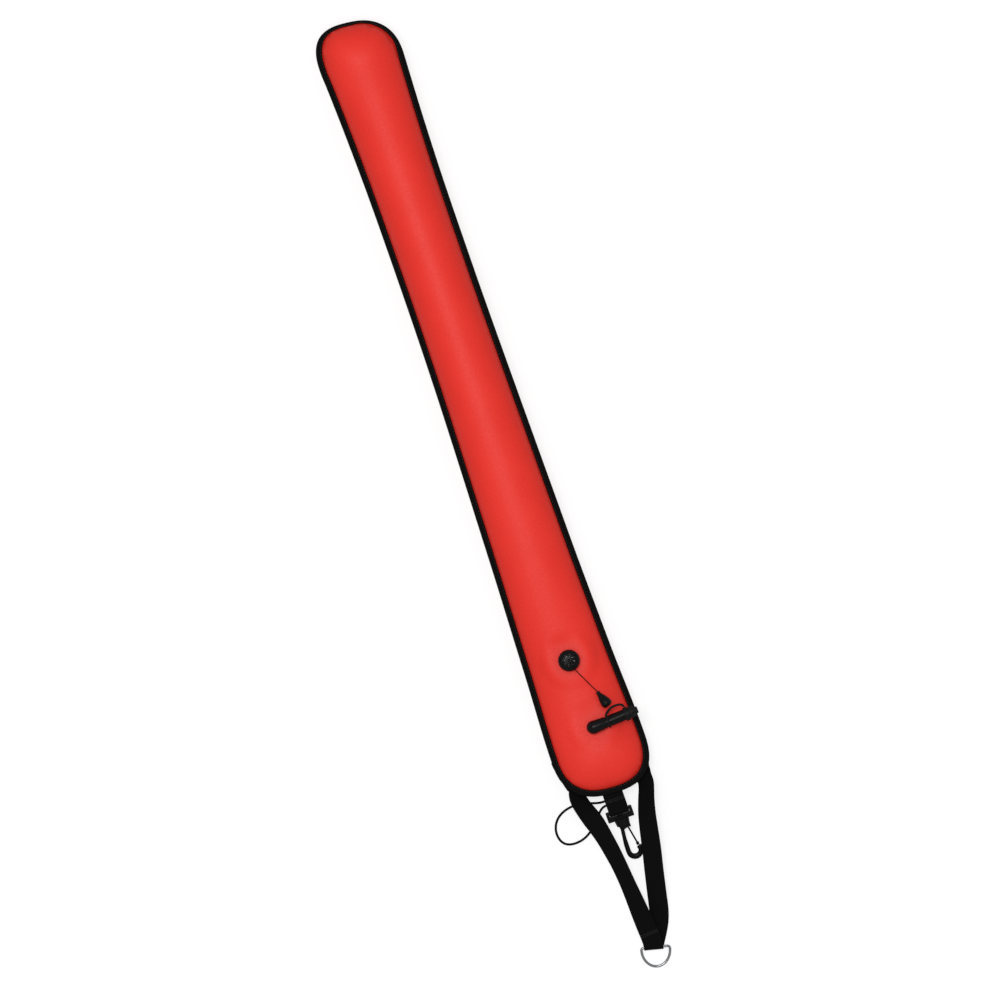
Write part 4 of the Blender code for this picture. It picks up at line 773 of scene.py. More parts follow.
def panel_grid(sign, seed):
    """Points of the panel and their places on the flat cut: the front for 1, the back for -1."""
    rim = EDGE + unit(WELD_LINE - EDGE) * RIM_INSET
    base = weld_z(TIE[:, 1])
    rise = crown(half_width(TIE[:, 1]))
    rows = [np.column_stack([line, base + sign * WELD]) for line in (rim, WELD_LINE)]
    for angle in CROWN_ROWS:
        place = TIE + (WELD_LINE - TIE) * math.cos(angle)
        rows.append(np.column_stack([place, base + sign * (WELD + rise * math.sin(angle))]))
    grid = np.stack(rows, 1)
    cloth_run = run_along(grid)
    to_crown = cloth_run[:, -1:] - cloth_run
    round_it = np.roll(grid, -1, axis=0) - np.roll(grid, 1, axis=0)
    normal = np.cross(np.gradient(grid, axis=1), round_it)
    normal = normal / np.maximum(np.linalg.norm(normal, axis=2, keepdims=True), 1e-12)
    normal *= np.sign(normal[..., 2:] * sign + 1e-9)
    reach = np.clip(cloth_run - cloth_run[:, 1:2], 0, None)
    depth = puckers(seed, reach) * np.clip(to_crown / CROWN_FADE, 0, 1)
    flat = TIE[:, None] + unit(WELD_LINE - TIE)[:, None] * to_crown[..., None]
    return askew(grid + normal * depth[..., None]), flat / MM


print("points of a panel:", len(OUTLINE), "by", len(CROWN_ROWS) + 2)

# %% [markdown]
# The front panel is pulled to the flats round its valves, and the back one lies on the ground. The
# rows meet on the crown line and at the two ends' centres, where doubles are merged. A Solidify
# modifier gives the cloth its thickness.

# %% Panels
MERGED = 0.02 * MM


def panel(name, sign, seed, replaced):
    """Front panel for sign 1, back panel for sign -1."""
    grid, flat = panel_grid(sign, seed)
    if sign > 0:
        flatten_to_seats(grid)
    else:
        grid[..., 2] = np.maximum(grid[..., 2], 0.0)
    made = in_scene(name, panel_mesh(name, grid, flat, sign))
    wall = made.modifiers.new("thickness", "SOLIDIFY")
    wall.thickness = FABRIC
    wall.offset = -1
    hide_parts(replaced)
    return made


def panel_mesh(name, grid, flat, sign):
    """The grid as a mesh with its UV map, its faces outwards."""
    count, depth = grid.shape[:2]
    rows, columns = np.meshgrid(np.arange(count), np.arange(depth - 1), indexing="ij")
    after = (rows + 1) % count
    faces = np.stack([rows * depth + columns, after * depth + columns,
                      after * depth + columns + 1, rows * depth + columns + 1], -1).reshape(-1, 4)
    mesh = cloth_mesh(name, grid, faces.tolist(), flat.reshape(-1, 2)[faces.ravel()])
    shape = bmesh.new()
    shape.from_mesh(mesh)
    bmesh.ops.remove_doubles(shape, verts=shape.verts, dist=MERGED)
    bmesh.ops.dissolve_degenerate(shape, edges=shape.edges, dist=MERGED / 2)
    bmesh.ops.recalc_face_normals(shape, faces=shape.faces)
    top = max(shape.faces, key=lambda face: sign * face.calc_center_median().z)
    if top.normal.z * sign < 0:
        bmesh.ops.reverse_faces(shape, faces=shape.faces)
    shape.to_mesh(mesh)
    shape.free()
    mesh.shade_smooth()
    mesh.materials.append(NYLON)
    return mesh


front = panel("front_cloth", 1, 4, "front_panel")
back = panel("back_cloth", -1, 9, "back_panel")
print("faces of the front panel:", len(front.data.polygons))

# %% [markdown]
# The valves pass through two round holes in the front panel. A Boolean with a fine cylinder cuts
# each cleanly through the cloth's thickness, and the result becomes a plain mesh.

# %% Holes for the valves
HOLE_SIDES = 64
CUT = 12 * MM


def applied(obj):
    """The object with its modifiers made part of a plain mesh."""
    bpy.context.view_layer.update()
    evaluated = obj.evaluated_get(bpy.context.evaluated_depsgraph_get())
    mesh = bpy.data.meshes.new_from_object(evaluated)
    obj.modifiers.clear()
    obj.data = mesh
    return obj


def cutter_at(centre, height, radius):
    """An upright cylinder with its middle at a height."""
    shape = bmesh.new()
    bmesh.ops.create_cone(shape, cap_ends=True, segments=HOLE_SIDES, radius1=radius,
                          radius2=radius, depth=CUT)
    bmesh.ops.translate(shape, vec=(*centre, height), verts=shape.verts)
    mesh = bpy.data.meshes.new("hole")
    shape.to_mesh(mesh)
    shape.free()
    return in_scene("hole", mesh)


cutters = []
for centre, height, _, hole in SEATS:
    cutters.append(cutter_at(centre, height, hole))
    cut = front.modifiers.new("hole", "BOOLEAN")
    cut.operation = "DIFFERENCE"
    cut.solver = "EXACT"
    cut.object = cutters[-1]
applied(front)
for cutter in cutters:
    bpy.data.objects.remove(cutter)
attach(front, "tube")
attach(back, "tube")
print("front panel after its holes:", len(front.data.polygons), "faces")

# %% [markdown]
# A grosgrain tape is folded over the welded edge and sewn through all the layers. Its section is
# a U whose fold is rounded, drawn round the whole outline. On the head the tape covers 5 mm and
# on the sides 8 mm, as the welded edge does.

# %% Edge binding
COVER = 0.95                # share of the welded edge under the tape
NARROW = 0.24               # less of it on the head's right shoulder
SHOULDER = 445 * MM         # where that shoulder begins
TAPE_FOLD = 2.0 * MM
TAPE_ROUND = 0.3 * MM


def binding_section(width):
    """The tape's U round one station, from its inner edge on top to its inner edge below."""
    half, inside = BINDING_HALF, BINDING_HALF - TAPE
    angles = np.radians(np.linspace(90, -90, 11))
    outer = [(width, half - TAPE_ROUND), (width - TAPE_ROUND, half)]
    outer += [(TAPE_FOLD - TAPE_FOLD * math.cos(a), half * math.sin(a)) for a in angles]
    outer += [(width - TAPE_ROUND, -half), (width, -half + TAPE_ROUND)]
    inner = TAPE + 0.2 * MM
    return outer + [(width, -inside), (inner, -inside), (inner, inside), (width, inside)]


shoulder = eased((EDGE[:, 1] - SHOULDER) / (30 * MM)) * eased(EDGE[:, 0] / (20 * MM))
covered = (COVER - NARROW * shoulder) * np.linalg.norm(WELD_LINE - EDGE, axis=1)
sections = np.array([binding_section(width) for width in covered])
edge_line = askew(np.column_stack([EDGE, weld_z(TIE[:, 1])]))
inwards = np.column_stack([unit(WELD_LINE - EDGE), np.zeros(len(EDGE))])
upwards = np.tile((0.0, 0.0, 1.0), (len(EDGE), 1))
binding = drawn_out("binding", edge_line, inwards, upwards, sections, closed=True)
binding.data.materials.append(TAPE_CLOTH)
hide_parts("edge_binding")
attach(binding, "tube")
print("binding faces:", len(binding.data.polygons))

# %% [markdown]
# What repeats or follows a line is made by Geometry Nodes. Each tree has named inputs for its
# sizes and its material, and ends by making its copies real and giving them the material. The
# result is taken as a plain mesh, because only a plain mesh can ride on a body.

# %% Trees of geometry nodes

def new_tree(name, made, **inputs):
    """A tree with inputs of the given kinds, which makes one thing, and its inputs' sockets."""
    tree = bpy.data.node_groups.new(name, "GeometryNodeTree")
    for label, kind in inputs.items():
        tree.interface.new_socket(label, in_out="INPUT", socket_type="NodeSocket" + kind)
    tree.interface.new_socket(made, in_out="OUTPUT", socket_type="NodeSocketGeometry")
    return tree, tree.nodes.new("NodeGroupInput").outputs


def end_tree(tree, shape, material):
    """Ends a tree with what it makes, smooth, real and in its material."""
    smooth = node(tree, "GeometryNodeSetShadeSmooth", {0: shape})
    whole = node(tree, "GeometryNodeRealizeInstances", {0: smooth})
    dressed = node(tree, "GeometryNodeSetMaterial", {"Geometry": whole, "Material": material})
    tree.links.new(dressed, tree.nodes.new("NodeGroupOutput").inputs[0])
    return tree


def inputs_of(tree):
    """Identifiers of a tree's inputs, by their names."""
    return {item.name: item.identifier for item in tree.interface.items_tree
            if item.in_out == "INPUT"}


def grown(name, tree, lines, **values):
    """What a tree makes of lines of points and of the values of its inputs, as a plain mesh."""
    points, edges = [], []
    for line, closed in lines:
        first = len(points)
        points += [tuple(map(float, p)) for p in line]
        edges += [(i, i + 1) for i in range(first, len(points) - 1)]
        if closed:
            edges.append((len(points) - 1, first))
    mesh = bpy.data.meshes.new(name)
    mesh.from_pydata(points, edges, [])
    made = in_scene(name, mesh)
    step = made.modifiers.new(tree.name, "NODES")
    step.node_group = tree
    for label, value in values.items():
        step[inputs_of(tree)[label]] = value
    return applied(made)


print("a tree is made by new_tree and end_tree, and used by grown")

# %% [markdown]
# Stitches are all one shape, repeated along a line. The tree reads a line of edges, resamples it
# at the stitch's pitch, and puts a small capsule on each point, turned along the line. Its inputs
# are the pitch, the stitch's length and thickness, and the thread's material.

# %% The stitch tree

def stitch_tree():
    """Geometry nodes that sew a line."""
    tree, given = new_tree("stitches", "Stitches", Line="Geometry", Pitch="Float",
                           Length="Float", Thickness="Float", Thread="Material")
    line = node(tree, "GeometryNodeMeshToCurve", {0: given["Line"]})
    points = node(tree, "GeometryNodeResampleCurve", {"Curve": line, "Length": given["Pitch"]},
                  mode="LENGTH")
    capsule = node(tree, "GeometryNodeMeshUVSphere", {"Segments": 6, "Rings": 5, "Radius": 0.5})
    way = node(tree, "GeometryNodeInputTangent")
    turn = node(tree, "FunctionNodeAlignRotationToVector", {"Vector": way}, axis="Z")
    size = node(tree, "ShaderNodeCombineXYZ", {0: given["Thickness"], 1: given["Thickness"],
                                               2: given["Length"]})
    copies = node(tree, "GeometryNodeInstanceOnPoints", {"Points": points, "Instance": capsule,
                                                         "Rotation": turn, "Scale": size})
    return end_tree(tree, copies, given["Thread"])


STITCHES = stitch_tree()


def sew(name, lines, slot, pitch, length, thickness):
    """Stitches along lines of points on the tube's body, with sizes in millimetres."""
    made = grown(name, STITCHES, lines, Pitch=pitch * MM, Length=length * MM,
                 Thickness=thickness * MM, Thread=THREAD_NYLON)
    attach(made, "tube")
    return made


print("inputs of the stitch tree:", list(inputs_of(STITCHES)))

# %% [markdown]
# A lockstitch shows on both faces of the binding, 1.6 mm from the tape's inner edge, at about
# 4 mm a stitch.

# %% Stitches of the binding
SEAM_INSET = 1.6 * MM
seam_depth = (covered - SEAM_INSET)[:, None]
seams = [(edge_line + inwards * seam_depth + upwards * side * BINDING_HALF, True)
         for side in (1, -1)]
binding_stitches = sew("binding_stitches", seams, "binding_tape_black", pitch=4.0, length=3.1,
                       thickness=0.55)
print("binding stitches:", len(binding_stitches.data.polygons), "faces")

# %% [markdown]
# The bridle is one length of polyester webbing, 24 mm wide. Each end is sewn under the tube, the
# legs come out from under the foot's binding and twist a little on their way to the ring, and the
# middle goes round the ring's bar. A row of the table gives the strap's middle and how far its
# outer edge is rolled up. The section has full selvedges, so its edges are thicker and round.

# %% Webbing
WEBBING_WIDTH = 24.4 * MM
WEBBING_THICK = 1.6 * MM
SELVEDGE = 2.2 * MM
FACE = 0.86                 # thickness beside the selvedges, as a share of theirs
FACE_MIDDLE = 0.84


def webbing_section(width):
    """A flat section with rounded selvedges."""
    half, rise = width / 2, WEBBING_THICK / 2
    angles = np.radians(np.linspace(90, -90, 7))
    right = [(half - rise + rise * math.cos(a), rise * math.sin(a)) for a in angles]
    flat = half - SELVEDGE
    top = [(-flat, rise * FACE), (0, rise * FACE_MIDDLE), (flat, rise * FACE)]
    low = [(x, -z) for x, z in top[::-1]]
    left = [(-x, -z) for x, z in right]
    return np.array(top + right + low + left)


def strap(name, line, across, replaced, width):
    """A strap along a line, on the tube's body, its sides and the ways out of its face."""
    ahead = headings(line)
    sides = unit(across - ahead * (across * ahead).sum(1, keepdims=True))
    ups = unit(np.cross(ahead, sides))
    made = drawn_out(name, line, sides, ups, webbing_section(width))
    made.data.materials.append(WEBBING_CLOTH)
    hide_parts(replaced)
    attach(made, "tube")
    return made, sides, ups


print("points in a webbing section:", len(webbing_section(WEBBING_WIDTH)))

# %% Route of the bridle
# x, distance below the foot, height in millimetres, and roll in degrees, outer edge up
LEFT_LEG = ((-53.9, -62, 15.81, 35), (-53.44, -57.41, 15.53, 34.7), (-52.77, -52.81, 15.28, 34.3),
            (-51.9, -48, 15.03, 34), (-50.63, -42.78, 14.84, 33.7), (-49.16, -37.33, 14.97, 33.4),
            (-47.9, -32, 15.67, 33), (-46.36, -26.7, 17.14, 32.4), (-44.84, -21.52, 19.08, 31.7),
            (-44.6, -17, 20.73, 31), (-45.64, -13.56, 21.39, 30.4), (-46.4, -8, 21.7, 29),
            (-45, 1, 21.9, 25), (-42.3, 10, 21.7, 18), (-38.3, 22, 21.6, 2), (-35, 33, 21.3, -14),
            (-31.1, 50, 20.6, -27), (-27.9, 68, 19, -32), (-25.3, 86, 16.8, -37),
            (-23.6, 102, 14.6, -38), (-22.2, 118, 12.6, -36), (-20.8, 136, 10.4, -29),
            (-19.7, 154, 8, -20), (-18.5, 170, 6.2, -9), (-17.6, 182, 5.2, -2),
            (-17.3, 191, 5.3, 0))
RIGHT_LEG = ((46.8, -62, 12.15, 33), (46.92, -57.41, 11.84, 32.6), (47.24, -52.81, 11.56, 32.3),
             (47.6, -48, 11.41, 32), (47.65, -42.78, 11.51, 31.9), (46.24, -37.33, 12.02, 31.8),
             (44.3, -32, 13.05, 32), (42.5, -26.7, 14.74, 32.5), (41.17, -21.52, 16.1, 33.3),
             (40.6, -17, 17.67, 34), (40.5, -13.56, 19, 34.7), (40.3, -8, 21, 36),
             (40.2, 1, 20.8, 37), (38, 9, 20.9, 38), (33.7, 21, 21.2, 34), (28.7, 38, 22, 26),
             (24.4, 58, 21.8, 17), (20.1, 80, 20, 12), (14, 107, 15.2, 10), (8.2, 134, 9.4, 8),
             (3.5, 156, 4.6, 5), (-1.4, 170, 2.4, 2), (-7.9, 182, 1.1, 0), (-13.9, 191.5, 1.1, 0))
print("places on the legs:", len(LEFT_LEG), "and", len(RIGHT_LEG))

# %% Bridle strap
RING_TURN = math.radians(-13.8)
RING_WIRE = 1.6 * MM
RING_CENTRE = np.array((-15.9 * MM, FOOT_Y - 199.0 * MM, 3.8 * MM))
RING_LOOP_SHIFT = -2.2 * MM     # the strap's place along the ring's bar
EVENED = 4                      # stations to each side over which a leg goes down alike


def leg(rows):
    """Middle points and width directions of one leg."""
    fine = smooth_line(rows, 6)
    points = below_foot(fine[:, :3])
    ahead = np.gradient(points[:, :2], axis=0)
    right = unit(np.column_stack([-ahead[:, 1], ahead[:, 0]]))
    right *= np.sign(right[:, :1])
    roll = np.radians(fine[:, 3]) * np.sign(rows[0][0])
    across = np.column_stack([right * np.cos(roll)[:, None], np.sin(roll)])
    return points - lowered(points, across), across


def lowered(points, across):
    """How far down each point of a leg goes, so that the tube rests on its sewn end."""
    graph = bpy.context.evaluated_depsgraph_get()
    trees = [BVHTree.FromObject(piece, graph) for piece in (back, binding)]
    need = np.zeros(len(points))
    for i, (point, side) in enumerate(zip(points, across)):
        for share in np.linspace(-1, 1, 9):
            x, y, z = point + side * share * WEBBING_WIDTH / 2
            for tree in trees:
                hit = tree.ray_cast(Vector((x, y, -10 * MM)), Vector((0, 0, 1)))[0]
                if hit is not None:
                    need[i] = max(need[i], z + 0.6 * WEBBING_THICK + CLEAR - hit.z)
    widest = [need[max(0, i - EVENED):i + EVENED + 1].max() for i in range(len(need))]
    mean = np.ones(2 * EVENED + 1) / (2 * EVENED + 1)
    even = np.convolve(np.pad(widest, EVENED, mode="edge"), mean, "valid")
    print("a leg goes down by up to", round(float(even.max()) / MM, 2), "mm")
    return even[:, None] * np.array([0, 0, 1.0])


left_line, left_across = leg(LEFT_LEG)
right_line, right_across = leg(RIGHT_LEG)
ring_bar = np.array([math.cos(RING_TURN), math.sin(RING_TURN), 0])
ring_out = np.array([math.sin(RING_TURN), -math.cos(RING_TURN), 0])
fold_radius = RING_WIRE + CLEAR + WEBBING_THICK / 2
fold_centre = RING_CENTRE + ring_bar * RING_LOOP_SHIFT
fold = [fold_centre + fold_radius * (ring_out * math.cos(a) + np.array([0, 0, math.sin(a)]))
        for a in np.radians(np.linspace(90, -90, 19))]
bridle_line = np.vstack([left_line, fold, right_line[::-1]])
bridle_across = np.vstack([left_across, np.tile(ring_bar, (len(fold), 1)), right_across[::-1]])
bridle, bridle_sides, bridle_ups = strap("bridle", bridle_line, bridle_across, "bridle_strap",
                                         WEBBING_WIDTH)
print("bridle strap:", round(length_of(bridle_line), 3), "m long,", len(bridle.data.polygons),
      "faces")

# %% [markdown]
# The tail loop is a short piece of the same webbing. It is sewn under the foot's binding, goes
# round the bar of the snap and comes back under itself.

# %% Tail loop
LOOP_X = -3.5 * MM
LOOP_WIDTH = 25.6 * MM
SNAP_BAR = np.array((LOOP_X, FOOT_Y - 22.8 * MM, 20.171 * MM))
SNAP_BAR_RADIUS = 2.2 * MM
FOLD_SLACK = 0.45 * MM         # stiff webbing doesn't lie tight round the bar


def tail_line():
    """Middle line of the loop: top layer, fold round the bar, lower layer."""
    layer = WEBBING_THICK + CLEAR
    top_z = float(weld_z(FOOT_Y)) - BINDING_HALF - CLEAR - WEBBING_THICK / 2
    sewn_end, past = FOOT_Y + FOOT_END[2] * 0.8, FOOT_Y - 5 * MM
    radius = SNAP_BAR_RADIUS + CLEAR + FOLD_SLACK + WEBBING_THICK / 2
    fold = [SNAP_BAR + radius * np.array([0, -math.cos(a), math.sin(a)])
            for a in np.radians(np.linspace(100, -100, 21))]
    top = [(LOOP_X, sewn_end, top_z), (LOOP_X, FOOT_Y, top_z), (LOOP_X, past, top_z - 0.3 * MM),
           fold[0]]
    low = [fold[-1], (LOOP_X, past, top_z - layer - 0.9 * MM), (LOOP_X, FOOT_Y, top_z - layer),
           (LOOP_X, sewn_end, top_z - layer)]
    return np.vstack([smooth_line(top, 6)[:-1], fold, smooth_line(low, 6)[1:]])


loop_line = tail_line()
loop_across = np.tile((1.0, 0, 0), (len(loop_line), 1))
tail, tail_sides, tail_ups = strap("tail_strap", loop_line, loop_across, "tail_loop", LOOP_WIDTH)
print("tail loop:", round(length_of(loop_line), 3), "m long,", len(tail.data.polygons), "faces")

# %% [markdown]
# The webbing is held by rows of close stitches. Each end of the bridle has a box with a cross
# under the tube. Two bars across the strap close its eye at the ring, and two more hold the tail
# loop at the snap. Every row is a line on the strap's face, so it is given by places along the
# strap and across it.

# %% Stitches of the straps
CLOSE_STITCH = {"pitch": 2.3, "length": 2.1, "thickness": 0.6}
BAR_HALF = 10.6                 # half the length of a bar across the strap
BOX_START = 3.0
BOX_END = 24.0
BOX_HALF = 9.0
RING_BARS = (9.0, 11.4)         # from the end of the left leg
SNAP_BARS = (13.6, 16.0)        # from each end of the loop


def on_strap(line, sides, ups, corners, face):
    """Points on a strap's face: corners are (distance along, across) in millimetres."""
    fine = []
    for (a, b), (c, d) in zip(corners, corners[1:]):
        steps = max(2, int(math.dist((a, b), (c, d))))
        fine += [(a + (c - a) * k / steps, b + (d - b) * k / steps) for k in range(steps)]
    along, across = np.array([*fine, corners[-1]]).T
    middle, side, up = [read_at(rows, run_along(line) / MM, along)
                        for rows in (line, sides, ups)]
    return (middle + unit(side) * across[:, None] * MM
            + unit(up) * (face * WEBBING_THICK / 2 * FACE))


def box_and_cross(start, end, half):
    """Corners of a box with its diagonals."""
    return [(start, -half), (end, -half), (end, half), (start, half), (start, -half),
            (end, half), (end, -half), (start, half)]


def bar_at(place):
    """Ends of a bar across the strap."""
    return [(place, -BAR_HALF), (place, BAR_HALF)]


bridle_length = length_of(bridle_line) / MM
seams = [box_and_cross(BOX_START, BOX_END, BOX_HALF),
         box_and_cross(bridle_length - BOX_END, bridle_length - BOX_START, BOX_HALF)]
seams += [bar_at(length_of(left_line) / MM - inset) for inset in RING_BARS]
rows = [(on_strap(bridle_line, bridle_sides, bridle_ups, seam, face), False)
        for seam in seams for face in (1, -1)]
bridle_stitches = sew("bridle_stitches", rows, "webbing_black", **CLOSE_STITCH)
tail_length = length_of(loop_line) / MM
rows = [(on_strap(loop_line, tail_sides, tail_ups, bar_at(abs(end - inset)), face), False)
        for face, end in ((1, 0.0), (-1, tail_length)) for inset in SNAP_BARS]
tail_stitches = sew("tail_stitches", rows, "webbing_black", **CLOSE_STITCH)
print("stitch faces:", len(bridle_stitches.data.polygons), len(tail_stitches.data.polygons))

# %% [markdown]
# The D-ring is bent from 3.2 mm wire and welded in its straight bar, under the webbing. Its
# corners are tight and its bow is half an ellipse. A line and a wire's radius say all about its
# shape, so Geometry Nodes draw it, with the same nodes that draw the springs' wire further on.

# %% D-ring

def wire(tree, given, curve, sides):
    """Ends a tree with round wire drawn along a curve."""
    section = node(tree, "GeometryNodeCurvePrimitiveCircle", {"Resolution": sides,
                                                              "Radius": given["Radius"]})
    drawn = node(tree, "GeometryNodeCurveToMesh", {"Curve": curve, "Profile Curve": section,
                                                   "Fill Caps": True})
    return end_tree(tree, drawn, given["Metal"])


def bent_wire():
    """Geometry nodes that bend wire along a line of edges."""
    tree, given = new_tree("bent_wire", "Wire", Line="Geometry", Radius="Float",
                           Metal="Material")
    curve = node(tree, "GeometryNodeMeshToCurve", {0: given["Line"]})
    return wire(tree, given, curve, 20)


RING_HALF_WIDTH = 17.9 * MM
RING_DEPTH = 24.4 * MM
RING_CORNER = 3.2 * MM
RING_TILT = math.asin((RING_CENTRE[2] - RING_WIRE - CLEAR) / RING_DEPTH)


def ring_line():
    """The ring's middle line in its own plane: the bar on X, the bow towards -Y."""
    middle = RING_HALF_WIDTH - RING_CORNER
    corner = [(middle + RING_CORNER * math.sin(a), -RING_CORNER + RING_CORNER * math.cos(a))
              for a in np.radians(np.linspace(0, 90, 9))]
    bow = [(RING_HALF_WIDTH * math.cos(a),
            -RING_CORNER + (RING_DEPTH - RING_CORNER) * math.sin(a))
           for a in np.radians(np.linspace(0, -90, 25))[1:]]
    right = [(0.0, 0.0)] + corner + bow
    left = [(-x, y) for x, y in right[1:-1]]
    return np.array([(x, y, 0.0) for x, y in right + left[::-1]])


def turned(points, turn):
    """Points or directions in a piece's own axes, in the buoy's."""
    return np.asarray(points) @ np.array(Euler(turn).to_matrix()).T


def placed(points, centre, turn):
    """Points moved from a piece's own frame to the buoy's."""
    return turned(points, turn) + np.asarray(centre)


line = placed(evenly(ring_line(), 0.9 * MM, closed=True), RING_CENTRE,
              (RING_TILT, 0, RING_TURN))
ring = grown("welded_ring", bent_wire(), [(line, True)], Radius=RING_WIRE, Metal=STEEL)
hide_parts("d_ring")
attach(ring, "ring")
print("ring of", round(2 * RING_WIRE / MM, 1), "mm wire,", len(ring.data.polygons), "faces")

# %% [markdown]
# The cap's tether is a rubber ring round the elbow and a thin strap that curves out to the cap. It
# stretches as the cap is pulled off.

# %% Cap tether
INFLATOR_TURN = math.radians(3.0)
INFLATOR_HEIGHT = 9.2 * MM
INFLATOR_CENTRE = (*INFLATOR_XY, INFLATOR_SEAT + INFLATOR_HEIGHT)
# along the tube and out to its side, in millimetres
TETHER_LINE = ((19.1, 7.4), (20.6, 9.6), (24.0, 12.2), (29.0, 14.4), (34.0, 15.0), (38.6, 14.5),
               (42.2, 13.0), (43.9, 11.2), (44.1, 9.2))
TETHER_RADIUS = 1.45 * MM
TETHER_ENDS = (4, -6)        # two stations of the strap, given back with the band
BAND_START = 17.6 * MM
BAND_LONG = 3.0 * MM
BAND_INNER = 6.9 * MM
BAND_OUTER = 8.2 * MM
BAND_EDGE = 0.3 * MM
BAND_STATIONS = 48


def tether():
    """Band round the elbow and its strap, joined into one mesh."""
    turn = (0, 0, INFLATOR_TURN)
    strap_line = evenly(smooth_line([(x * MM, y * MM, 0) for x, y in TETHER_LINE], 12), 0.8 * MM)
    line = placed(strap_line, INFLATOR_CENTRE, turn)
    strip = round_cord("cap_strap", line, TETHER_RADIUS, CAP_RUBBER, 14)
    angles = np.linspace(0, 2 * math.pi, BAND_STATIONS, endpoint=False)
    out = np.column_stack([np.zeros(BAND_STATIONS), np.cos(angles), np.sin(angles)])
    hoop = out * (BAND_INNER + BAND_OUTER) / 2 + (BAND_START + BAND_LONG / 2, 0, 0)
    axis = np.tile(turned((1.0, 0, 0), turn), (BAND_STATIONS, 1))
    half, thick = BAND_LONG / 2, (BAND_OUTER - BAND_INNER) / 2
    section = np.array([(half, -thick), (half, thick - BAND_EDGE), (half - BAND_EDGE, thick),
                        (-half + BAND_EDGE, thick), (-half, thick - BAND_EDGE), (-half, -thick)])
    band = drawn_out("cap_band", placed(hoop, INFLATOR_CENTRE, turn), axis, turned(out, turn),
                     section, closed=True)
    band.data.materials.append(CAP_RUBBER)
    return joined(band, strip), line[list(TETHER_ENDS)]


cap_band, tether_ends = tether()
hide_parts("cap_tether")
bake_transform(cap_band)
print("tether faces:", len(cap_band.data.polygons))

# %% [markdown]
# Each valve closes by a coil spring of 0.6 mm wire: a cone under the cap of the dump valve, and a
# straight coil round the stem of the mouthpiece. Two radii, a height and a number of turns are
# the whole rule of a coil, so its tree has no line to read. A spring gives way as its valve opens.

# %% Springs
SPRING_WIRE = 0.3 * MM


def coiled_wire():
    """Geometry nodes that wind wire into a coil about Z."""
    tree, given = new_tree("coiled_wire", "Wire", Start="Float", End="Float", Height="Float",
                           Turns="Float", Radius="Float", Metal="Material")
    coil = node(tree, "GeometryNodeCurveSpiral", {
        "Resolution": 40, "Rotations": given["Turns"], "Start Radius": given["Start"],
        "End Radius": given["End"], "Height": given["Height"]})
    return wire(tree, given, coil, 12)


COIL = coiled_wire()


def spring(replaced, centre, turn, low, high, radii, turns):
    """A coil from low to high on its own Z."""
    made = grown(replaced + "_coil", COIL, [], Radius=SPRING_WIRE, Metal=STEEL, Start=radii[0],
                 End=radii[1], Height=high - low, Turns=float(turns))
    points = np.array([v.co for v in made.data.vertices]) + (0, 0, low)
    made.data.vertices.foreach_set("co", placed(points, centre, turn).ravel())
    made.data.update()
    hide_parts(replaced)
    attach(made, "tube")
    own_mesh(made)


spring("valve_spring", (*VALVE_XY, VALVE_SEAT), (0, 0, 0), low=8.8 * MM, high=11.2 * MM,
       radii=(6.8 * MM, 3.0 * MM), turns=3)
spring("mouthpiece_spring", INFLATOR_CENTRE, (0, math.radians(90), INFLATOR_TURN),
       low=27.6 * MM, high=34.3 * MM, radii=(4.4 * MM, 4.4 * MM), turns=4)
print("inputs of the coil's tree:", list(inputs_of(COIL)))

# %% [markdown]
# Two mouldings are rounder and fuller than their solids: the hook, round its bend and at its nose,
# and the inflator's elbow, with a wall that thickens towards its corner. A skin lies over each,
# drawn as a round bar of changing thickness.

# %% Hook and elbow
SNAP_TURN = (math.radians(15), 0, 0)
COLLAR_LOW = -24.1
# across and along the snap from its collar, and the section's half width and half thickness
HOOK_ROWS = ((-4.4, -12.0, 2.5, 2.6), (-4.8, -20.0, 2.95, 2.74), (-4.9, -26.0, 3.05, 2.75),
             (-4.8, -31.0, 3.15, 2.75), (-3.5, -35.6, 3.4, 2.75), (0.6, -38.6, 3.65, 2.75),
             (4.9, -38.8, 3.65, 2.75), (8.9, -36.2, 3.4, 2.75), (11.0, -32.2, 3.5, 2.75),
             (11.1, -29.0, 4.2, 2.75), (11.0, -27.6, 3.9, 2.5), (11.0, -27.0, 2.6, 1.7))
ELBOW_RADIUS = 8.2
ELBOW_CORNER = -0.6       # along the inflator from the middle of its flange
# along the elbow's barrel, and down its leg, with radii
BARREL_ROWS = ((ELBOW_CORNER, ELBOW_RADIUS), (4.0, 8.05), (9.0, 7.7), (13.0, 7.35), (16.5, 7.0))
LEG_ROWS = ((0.0, ELBOW_RADIUS), (-7.2, 8.2), (-7.6, 8.6), (-8.7, 8.6))


def round_bar(name, points, ahead, across, sections):
    """A bar of round sections, each with its half width and half thickness."""
    circle = round_section(1.0, 24)
    ups = np.cross(ahead, across)
    return drawn_out(name, points, across, ups, circle[None] * np.asarray(sections)[:, None])


def hook_skin():
    """The bend of the hook."""
    rows = evenly(smooth_line(HOOK_ROWS, 10), 0.5)
    flat = np.column_stack([rows[:, :2] + (0, COLLAR_LOW), np.zeros(len(rows))]) * MM
    ahead = headings(flat)
    across = np.cross(ahead, (0, 0, 1.0))
    return round_bar("hook_skin", placed(flat, SNAP_BAR, SNAP_TURN), turned(ahead, SNAP_TURN),
                     turned(across, SNAP_TURN), rows[:, 2:] * MM)


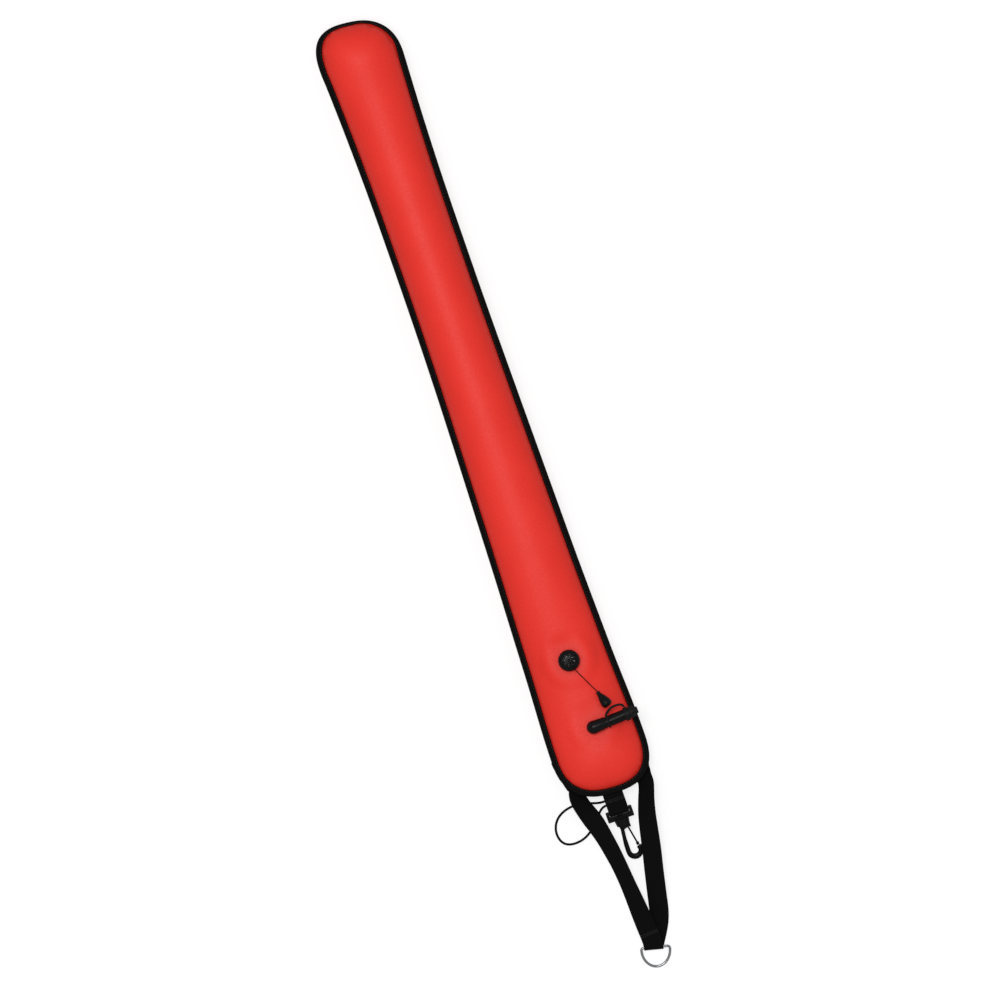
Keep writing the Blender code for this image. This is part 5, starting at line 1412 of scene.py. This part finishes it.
def elbow_skin():
    """The elbow's barrel with its round corner, and the leg under it, in one mesh."""
    corner = [(ELBOW_CORNER - ELBOW_RADIUS * math.cos(a), ELBOW_RADIUS * math.sin(a))
              for a in np.radians(np.linspace(6, 84, 11))]
    along, over, up = turned(np.eye(3), (0, 0, INFLATOR_TURN))
    bars = []
    for name, rows, way, origin in (("elbow_skin", (*corner, *BARREL_ROWS), along, 0.0),
                                    ("elbow_leg", LEG_ROWS, up, ELBOW_CORNER * MM)):
        rows = np.array(rows) * MM
        points = np.asarray(INFLATOR_CENTRE) + origin * along + rows[:, :1] * way
        count = (len(rows), 1)
        bars.append(round_bar(name, points, np.tile(way, count), np.tile(over, count),
                              np.repeat(rows[:, 1:], 2, axis=1)))
    return joined(*bars)


for skin, body in ((hook_skin(), "hook"), (elbow_skin(), "tube")):
    skin.data.materials.append(PLASTIC)
    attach(skin, body)
    print(skin.name, len(skin.data.polygons), "faces")

# %% [markdown]
# What is left is moulded or turned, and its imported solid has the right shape. Each solid gets its
# finish, and modifiers that leave its mesh alone: Weld joins its loose triangles, Bevel rounds
# its sharp edges as a mould does, and Weighted Normal keeps the flats flat.

# %% Moulded pieces
HARD = dict.fromkeys(("snap_base", "snap_hook", "snap_gate", "valve_base", "valve_cap",
                      "valve_poppet", "pull_toggle", "inflator_base", "inflator_elbow",
                      "inflator_tube", "mouthpiece"), PLASTIC)
HARD |= {"dust_cap": CAP_RUBBER, "poppet_seal": SEAL_RUBBER, "mouthpiece_seal": SEAL_RUBBER}
EDGE_ROUND = {"valve_cap": 0.3, "snap_base": 0.35, "dust_cap": 0.35, "inflator_elbow": 0.3,
              "inflator_tube": 0.3}


def dress(name, material):
    """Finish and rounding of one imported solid."""
    obj = bpy.data.objects[name]
    obj.data.materials.clear()
    obj.data.materials.append(material)
    obj.data.shade_smooth()
    weld = obj.modifiers.new("weld", "WELD")
    weld.merge_threshold = 0.002 * MM
    edge = obj.modifiers.new("edge", "BEVEL")
    edge.width = EDGE_ROUND.get(name, 0.2) * MM
    edge.segments = 2
    edge.limit_method = "ANGLE"
    edge.angle_limit = math.radians(40)
    weighted = obj.modifiers.new("flats", "WEIGHTED_NORMAL")
    weighted.keep_sharp = True


for name, material in HARD.items():
    dress(name, material)
print("moulded pieces dressed:", len(HARD))
